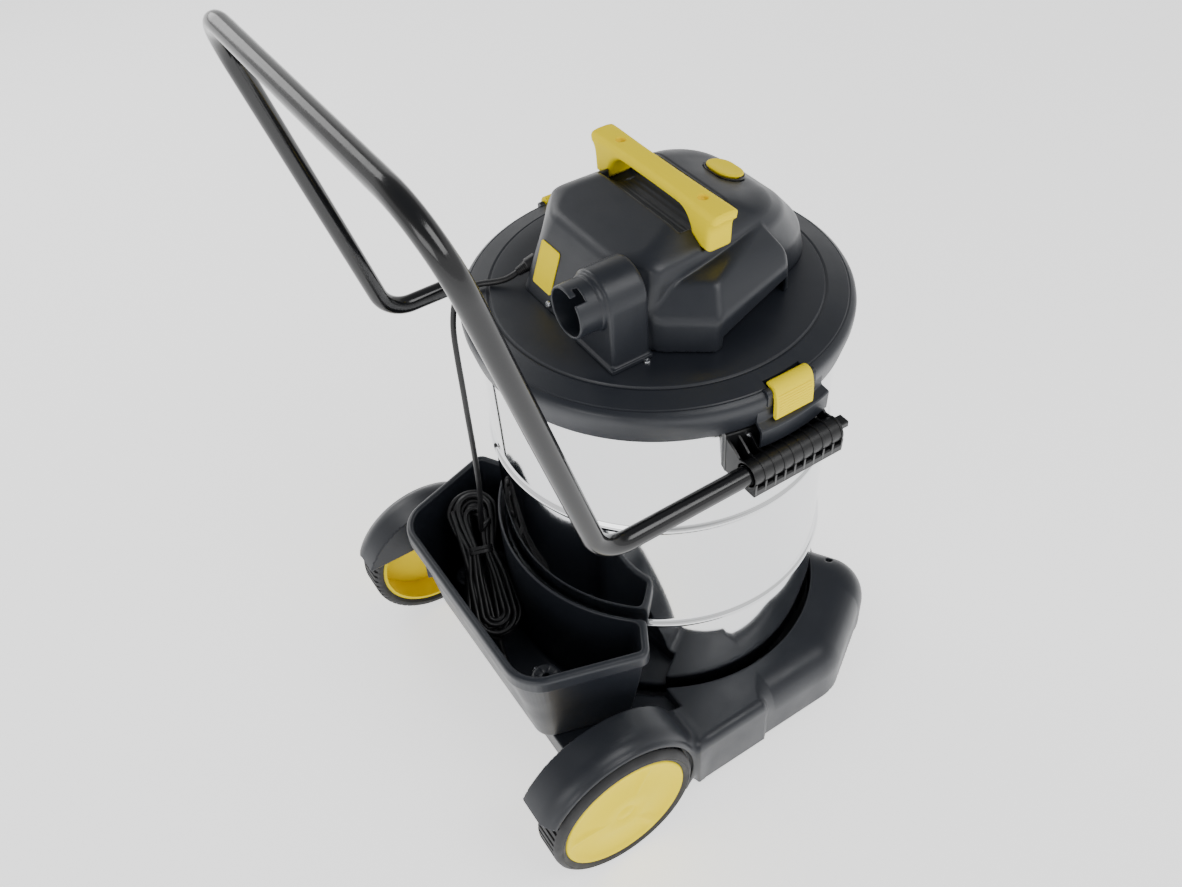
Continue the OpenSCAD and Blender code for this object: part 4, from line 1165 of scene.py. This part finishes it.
def make_inlet():
    """Hose inlet: a saddle flange on the drum with a flared, ribbed socket."""
    def along_front(points):
        return [(x, -z, INLET_Z + y) for x, y, z in points]
    columns = []
    for a in np.linspace(-16, 16, 33):
        half = 55 - max(0, 14 - (16 - abs(a)) / 16 * 58) * 0.45
        columns.append((270 + a, [(DRUM_R + 2.3, INLET_Z - half), (DRUM_R + 6.2, INLET_Z - half),
                                  (DRUM_R + 6.6, INLET_Z - half + 1), (DRUM_R + 6.6, INLET_Z + half - 1),
                                  (DRUM_R + 6.2, INLET_Z + half), (DRUM_R + 2.3, INLET_Z + half)]))
    points, faces = spun(columns, False)
    flange = piece("inlet_flange", points, faces, "root", "black_plastic", ("inlet_housing",), 40)
    tube = [(0.02, 190.4), (3.4, 190.4), (3.4, 205), (9, 211), (5.2, 213.4), (3.8, 217), (3.6, 233), (5.4, 235.4),
            (6, 236.4), (6, 240.6), (5.2, 241.8), (3.4, 242), (1.0, 241.4), (0.02, 239.6)]
    points, faces = turned([(INLET_R + out, reach) for out, reach in tube], 96)
    piece("inlet_socket", along_front(points), faces, "root", "black_plastic", (), 40)
    points, faces = rod(INLET_R + 1.5, 190, 226, 64)
    drilled(flange, along_front(points), faces)


# ---------------------------------------------------------------- wheels

WHEEL_X, WHEEL_W, DISC_R = 273, 49, 86
LUGS = 60


def make_wheels():
    """Lugged tyres with a smooth outer ring, on discs with six webs."""
    inner, outer = WHEEL_X - WHEEL_W, WHEEL_X
    tyre = []
    for k in range(LUGS):
        for share, groove in ((0, 0), (0.54, 0), (0.62, 1), (0.92, 1)):
            tread, tuck = WHEEL_R - 3.4 * groove, WHEEL_R - 5.4 - 1.6 * groove
            profile = [(DISC_R, inner + 4), (DISC_R + 3.4, inner + 0.6), (DISC_R + 6, inner), (tuck, inner + 0.2),
                       (WHEEL_R - 3.4, inner + 1.6), (tread - 0.8, inner + 4.2), (tread, inner + 7),
                       (tread, outer - 9.6), (WHEEL_R, outer - 8.6), (WHEEL_R - 1.2, outer - 4),
                       (WHEEL_R - 3.4, outer - 1.6), (WHEEL_R - 6, outer - 0.3), (DISC_R + 7.2, outer - 0.1),
                       (DISC_R + 6.6, outer - 0.7), (DISC_R + 5.4, outer - 0.7), (DISC_R + 4.8, outer - 0.1),
                       (DISC_R + 3.0, outer - 0.5), (DISC_R, outer - 3)]
            tyre.append((360 * (k + share) / LUGS, profile))
    disc = []
    for a in np.arange(0, 360, 1.5):
        web = max(0, math.cos(math.radians(3 * a))) ** 24
        face = [(0.3, 271.6), (7, 271.5), (9, 270.4), (13, 270.0), (15, 271.0), (26, 271.6),
                (34, 270.8 + 0.6 * web), (44, 267.8 + 3.0 * web), (56, 266.4 + 4.0 * web),
                (70, 266.6 + 3.6 * web), (77, 268.6 + 1.6 * web), (80.5, 271.3), (83.4, 271.8), (85.0, 271.0),
                (85.8, 269.5)]
        back = [(85.8, 228.5), (84.6, 228), (81.2, 228), (81, 264), (60, 262.4), (40, 264.4), (17, 264),
                (17, 219.6), (16.4, 219.3), (8.1, 219.3), (8.1, 262), (0.3, 262)]
        disc.append((a, face + back))
    for name, side in SIDES.items():
        for label, columns, slot, node, angle in (("tyre_tread_", tyre, "tyre_rubber", "tyre_", 32),
                                                  ("wheel_hub_", disc, "yellow_plastic", "wheel_disc_", 28)):
            points, faces = spun(columns)
            points = [(side * z, AXLE_Y + x, WHEEL_R + y) for x, y, z in points]
            piece(label + name, points, faces, "wheel_" + name, slot, (node + name,), angle)


# ---------------------------------------------------------------- push handle, brackets and latches

PUSH_X, PUSH_Z, PUSH_END = 235.3, 544, -46
PUSH_PATH = [(-PUSH_X, PUSH_END, PUSH_Z), (-PUSH_X, 233, PUSH_Z), (-PUSH_X, 344, 955), (PUSH_X, 344, 955),
             (PUSH_X, 233, PUSH_Z), (PUSH_X, PUSH_END, PUSH_Z)]
TUBE_R, TUBE_WALL, TUBE_SIDES = 11, 1.5, 40


def bent_path(corners, radii):
    """Straight runs joined by true arcs."""
    p = [np.array(c, float) for c in corners]
    made = [p[0]]
    for a, b, c, radius in zip(p, p[1:], p[2:], radii):
        u, w = unit(b - a), unit(c - b)
        turn = math.acos(np.clip(u @ w, -1, 1))
        start = b - u * radius * math.tan(turn / 2)
        inward = unit(np.cross(np.cross(u, w), u))
        middle = start + inward * radius
        for t in np.linspace(0, turn, 19):
            made.append(middle - inward * radius * math.cos(t) + u * radius * math.sin(t))
    return np.array(made + [p[-1]])


def make_tube():
    """The push handle as a hollow tube with a plug in each end."""
    path = bent_path(PUSH_PATH, (42, 68, 68, 42))
    outer, outer_faces = swept(path, TUBE_R, TUBE_SIDES)
    inner, inner_faces = swept(path, TUBE_R - TUBE_WALL, TUBE_SIDES)
    base, n = len(outer), TUBE_SIDES
    faces = outer_faces[:-2] + [tuple(base + i for i in f[::-1]) for f in inner_faces[:-2]]
    for start in (0, base - n):
        faces += [(start + k, start + (k + 1) % n, base + start + (k + 1) % n, base + start + k) for k in range(n)]
    bevelled(piece("push_tube", outer + inner, faces, "root", "black_tube", ("push_handle",), 50), 0.3, 2, 60)
    cap = [(0.01, 14.0), (9.3, 14.0), (9.3, 1.2), (9.9, 0.1), (9.9, -0.9), (9.0, -2.0), (6, -2.7), (0.01, -2.9)]
    points, faces = turned(cap, TUBE_SIDES, closed=False)
    for name, side in SIDES.items():
        moved = [(side * PUSH_X + x, PUSH_END + 0.3 + z, PUSH_Z + y) for x, y, z in points]
        piece("tube_end_" + name, moved, faces, "root", "black_plastic", ("tube_plugs",) if side < 0 else (), 40)


BRACKET_Y, BRACKET_LOW, RIB = (-60, 57), 522, 2.6


def make_brackets():
    """A curved plate on the drum, a slab below, ten ribs, a sleeve round the tube and a tab in front."""
    y0, y1 = BRACKET_Y
    slab = [(206.5, BRACKET_LOW), (248.5, BRACKET_LOW), (250, 523.5), (250, 531), (248.5, 532.6), (206.5, 532.6)]
    tab = [(227, 539.6), (239, 539.6), (240, 541), (240, 547), (239, 548.2), (227, 548.2), (226, 547), (226, 541)]
    plate = [(DRUM_R + 0.4, BRACKET_LOW + 0.2), (209.6, BRACKET_LOW + 0.2), (209.6, 572.6), (208.6, 573.8),
             (DRUM_R + 0.4, 573.8)]
    sleeve, sleeve_faces = turned([(TUBE_R + 0.08, y0), (14.2, y0), (14.2, y1), (TUBE_R + 0.08, y1)], 48)
    ends = [math.degrees(math.asin(y / 207.5)) for y in BRACKET_Y]
    curve, curve_faces = spun([(a, plate) for a in np.linspace(*ends, 21)], False)
    for name, side in SIDES.items():
        shells = []
        for y in np.linspace(y0, y1 - RIB, 10):
            bow = math.sqrt(206.2 ** 2 - max(abs(y), abs(y + RIB)) ** 2) + 0.2
            rib = [(bow, BRACKET_LOW + 0.5), (248, BRACKET_LOW + 0.5), (250, 526), (250.8, 541)]
            rib += arc((PUSH_X, PUSH_Z), 15.0, -20, 118, 14)
            rib += [(222, 556.5), (215.6, 561.5), (bow + 2, 569.5), (bow, 569.5)]
            shells.append(upright(rib, y, y + RIB, side))
        shells.append(([(side * (PUSH_X + x), z, PUSH_Z + y) for x, y, z in sleeve], sleeve_faces))
        shells.append(upright(slab, y0 + 0.1, y1 - 0.1, side))
        shells.append(([(side * x, y, z) for x, y, z in curve], curve_faces))
        shells.append(upright(tab, y0 - 16, y0 + 0.6, side))
        bevelled(piece("bracket_ribs_" + name, *collect(shells), "root", "black_plastic", ("bracket_" + name,)),
                 0.45, 2)


def make_latches():
    """Curled clips: a rounded hook round the pin, a flat flank with fine ribs and a lip at the bottom."""
    outer = [(207.6, 625.4), (207.4, 627.0), (208.4, 628.6), (211, 629.8), (214.2, 630.2), (217.4, 629.4),
             (220.4, 627.2), (222.8, 623.4), (224.6, 618), (225.8, 611), (226.4, 603), (226.6, 594),
             (226.3, 590), (225.0, 588.6)]
    inner = [(222.2, 588.6), (221.3, 589.6), (220.9, 592), (220.6, 602), (220.3, 609), (219.4, 613.8)]
    hook = outer + inner + arc(LATCH_PIN, 4.8, 300, 130, 10)
    y0, y1 = LATCH_Y - LATCH_W / 2, LATCH_Y + LATCH_W / 2
    for name, side in SIDES.items():
        body = "latch_" + name
        bevelled(piece("clip_" + name, *upright(hook, y0, y1, side), body, "yellow_plastic", (body,), 40), 0.8, 3, 40)
        ribs = []
        for z in 590.6 + 3.4 * np.arange(9):
            x = float(np.interp(z, (590, 603, 611, 618, 623.4), (226.3, 226.3, 225.7, 224.5, 222.7)))
            rib = [(x - 1, z), (x + 0.35, z + 0.1), (x + 0.6, z + 0.5), (x + 0.35, z + 0.9), (x - 1, z + 1.0)]
            ribs.append(upright(rib, y0 + 3, y1 - 3, side))
        piece("clip_grip_" + name, *collect(ribs), body, "yellow_plastic", (), 40)


# ---------------------------------------------------------------- screws


def screw_head(radius, height):
    """Points and faces of a domed head with a cross recess."""
    columns = []
    for a in np.arange(0, 360, 3.75):
        off = math.radians(abs((a + 45) % 90 - 45))
        sink = height * 0.55 if 0.62 * off < 0.13 else 0
        near = height * 0.55 if 0.3 * off < 0.14 else 0
        columns.append((a, [(0.02, height * 0.4), (radius * 0.3, height - near), (radius * 0.6, height * 0.97 - sink),
                            (radius * 0.64, height * 0.96), (radius * 0.85, height * 0.8),
                            (radius, height * 0.35), (radius, 0), (0.02, 0)]))
    return spun(columns)


def aimed(points, origin, direction):
    """Points with their Z axis laid along a direction."""
    w = unit(np.array(direction, float))
    u = unit(np.cross(w, [0.3, 0.1, 0.95] if abs(w[2]) < 0.9 else [1, 0, 0]))
    v = np.cross(w, u)
    return [tuple(np.array(origin) + x * u + y * v + z * w) for x, y, z in points]


def screws(name, body, node, spots, radius, height):
    """One piece for a set of screws, each spot an origin and a direction."""
    head, faces = screw_head(radius, height)
    shells = [(aimed(head, origin, direction), faces) for origin, direction in spots]
    piece(name, *collect(shells), body, "plain_steel", node, 28)


def radial(reach, degrees, z):
    """A spot on a round wall, facing out."""
    way = (math.cos(math.radians(degrees)), math.sin(math.radians(degrees)), 0)
    return (reach * way[0], reach * way[1], z), way


def make_screws():
    up = (0, 0, 1)
    sides = list(SIDES.values())
    screws("grip_screw_heads", "head", ("handle_screws",), [((s * GRIP_SCREW_X, GRIP_Y, 753.8), up) for s in sides],
           4.3, 3.0)
    cover = [((20, 126.4, 637), (0, 1, 0.36))] + [((s * 114, 92, DECK_Z), up) for s in sides]
    screws("cover_screw_heads", "head", ("cover_screws",), cover, 4.0, 2.6)
    screws("tray_screw_heads", "root", ("tray_screws",), [((x, 236, 119), up) for x in (-45, 45)], 6, 3)
    screws("bracket_screw_heads", "root", ("bracket_screws",), [radial(210, a, 566) for a in (171, 189, -9, 9)],
           3.2, 2.2)
    inlet = [radial(DRUM_R + 6.5, 270 + a, INLET_Z + dz) for a in (-13, 13) for dz in (-46, 46)]
    screws("inlet_screw_heads", "root", ("inlet_screws",), inlet, 5, 3)
    screws("ear_screw_heads", "root", (), [((s * 135, -194, 119), up) for s in sides], 4.2, 3.2)
    drum = [(radial(160, a, 101.2)[0], up) for a in (45, 135, 225, 315)]
    screws("drum_screw_heads", "root", ("drum_screws",), drum, 6, 3)


# ---------------------------------------------------------------- casters and cable gland


CASTER_R, CASTER_TRAIL = 25, 20


def make_casters():
    """Front caster wheels with a waisted disc and a crowned tread."""
    half = [(3.05, -9.7), (9, -9.7), (10.5, -8.4), (19, -7.6), (20.5, -9.2), (23, -10), (24.6, -9), (25, -7)]
    points, faces = turned(half + [(r, -z) for r, z in half[::-1]], 72)
    for name, side in SIDES.items():
        moved = [(side * EAR[0] + z, EAR[1] + CASTER_TRAIL + x, CASTER_R + y) for x, y, z in points]
        bevelled(piece("caster_roller_" + name, moved, faces, "caster_roll_" + name, "tyre_rubber",
                       ("caster_wheel_" + name,)), 0.4, 2)


def make_gland():
    """Cable gland: a short collar, then a bending sleeve with grooves."""
    start, second = np.array(CORD_ROUTE[:2], float)
    profile = [(0.02, -26), (8.2, -26), (8.2, -13.5), (7.6, -12.8), (6.6, -12.4)]
    for k in range(6):
        z = -12 + 1.95 * k
        r = 6.5 - 0.26 * k
        profile += [(r, z), (r, z + 1.05), (r - 0.9, z + 1.2), (r - 0.9, z + 1.8)]
    profile += [(4.7, -0.2), (4.3, 0), (0.02, 0)]
    points, faces = turned(profile, 48, closed=False)
    return piece("gland_sleeve", aimed(points, start, second - start), faces, "head", "black_rubber",
                 ("cable_gland",), 35)


make_camera()
dress_cad_nodes()
make_cover()
make_grilles()
cast_piece("blower_block", blower_field, (-118, 66, 626), (-36, 166, 738), 1.5, "head", "slate_plastic",
           ("blower_housing",), 0.4)
make_switch()
make_plate()
make_grip()
make_chassis()
make_tray()
make_pegs()
make_lid()
make_drum()
make_inlet()
make_wheels()
make_tube()
make_brackets()
make_latches()
make_screws()
make_casters()
GLAND = make_gland()
CORD, CORD_PATH, CORD_LENGTH = make_cord()
TIE = make_tie()
PLUG = make_plug()
make_room()
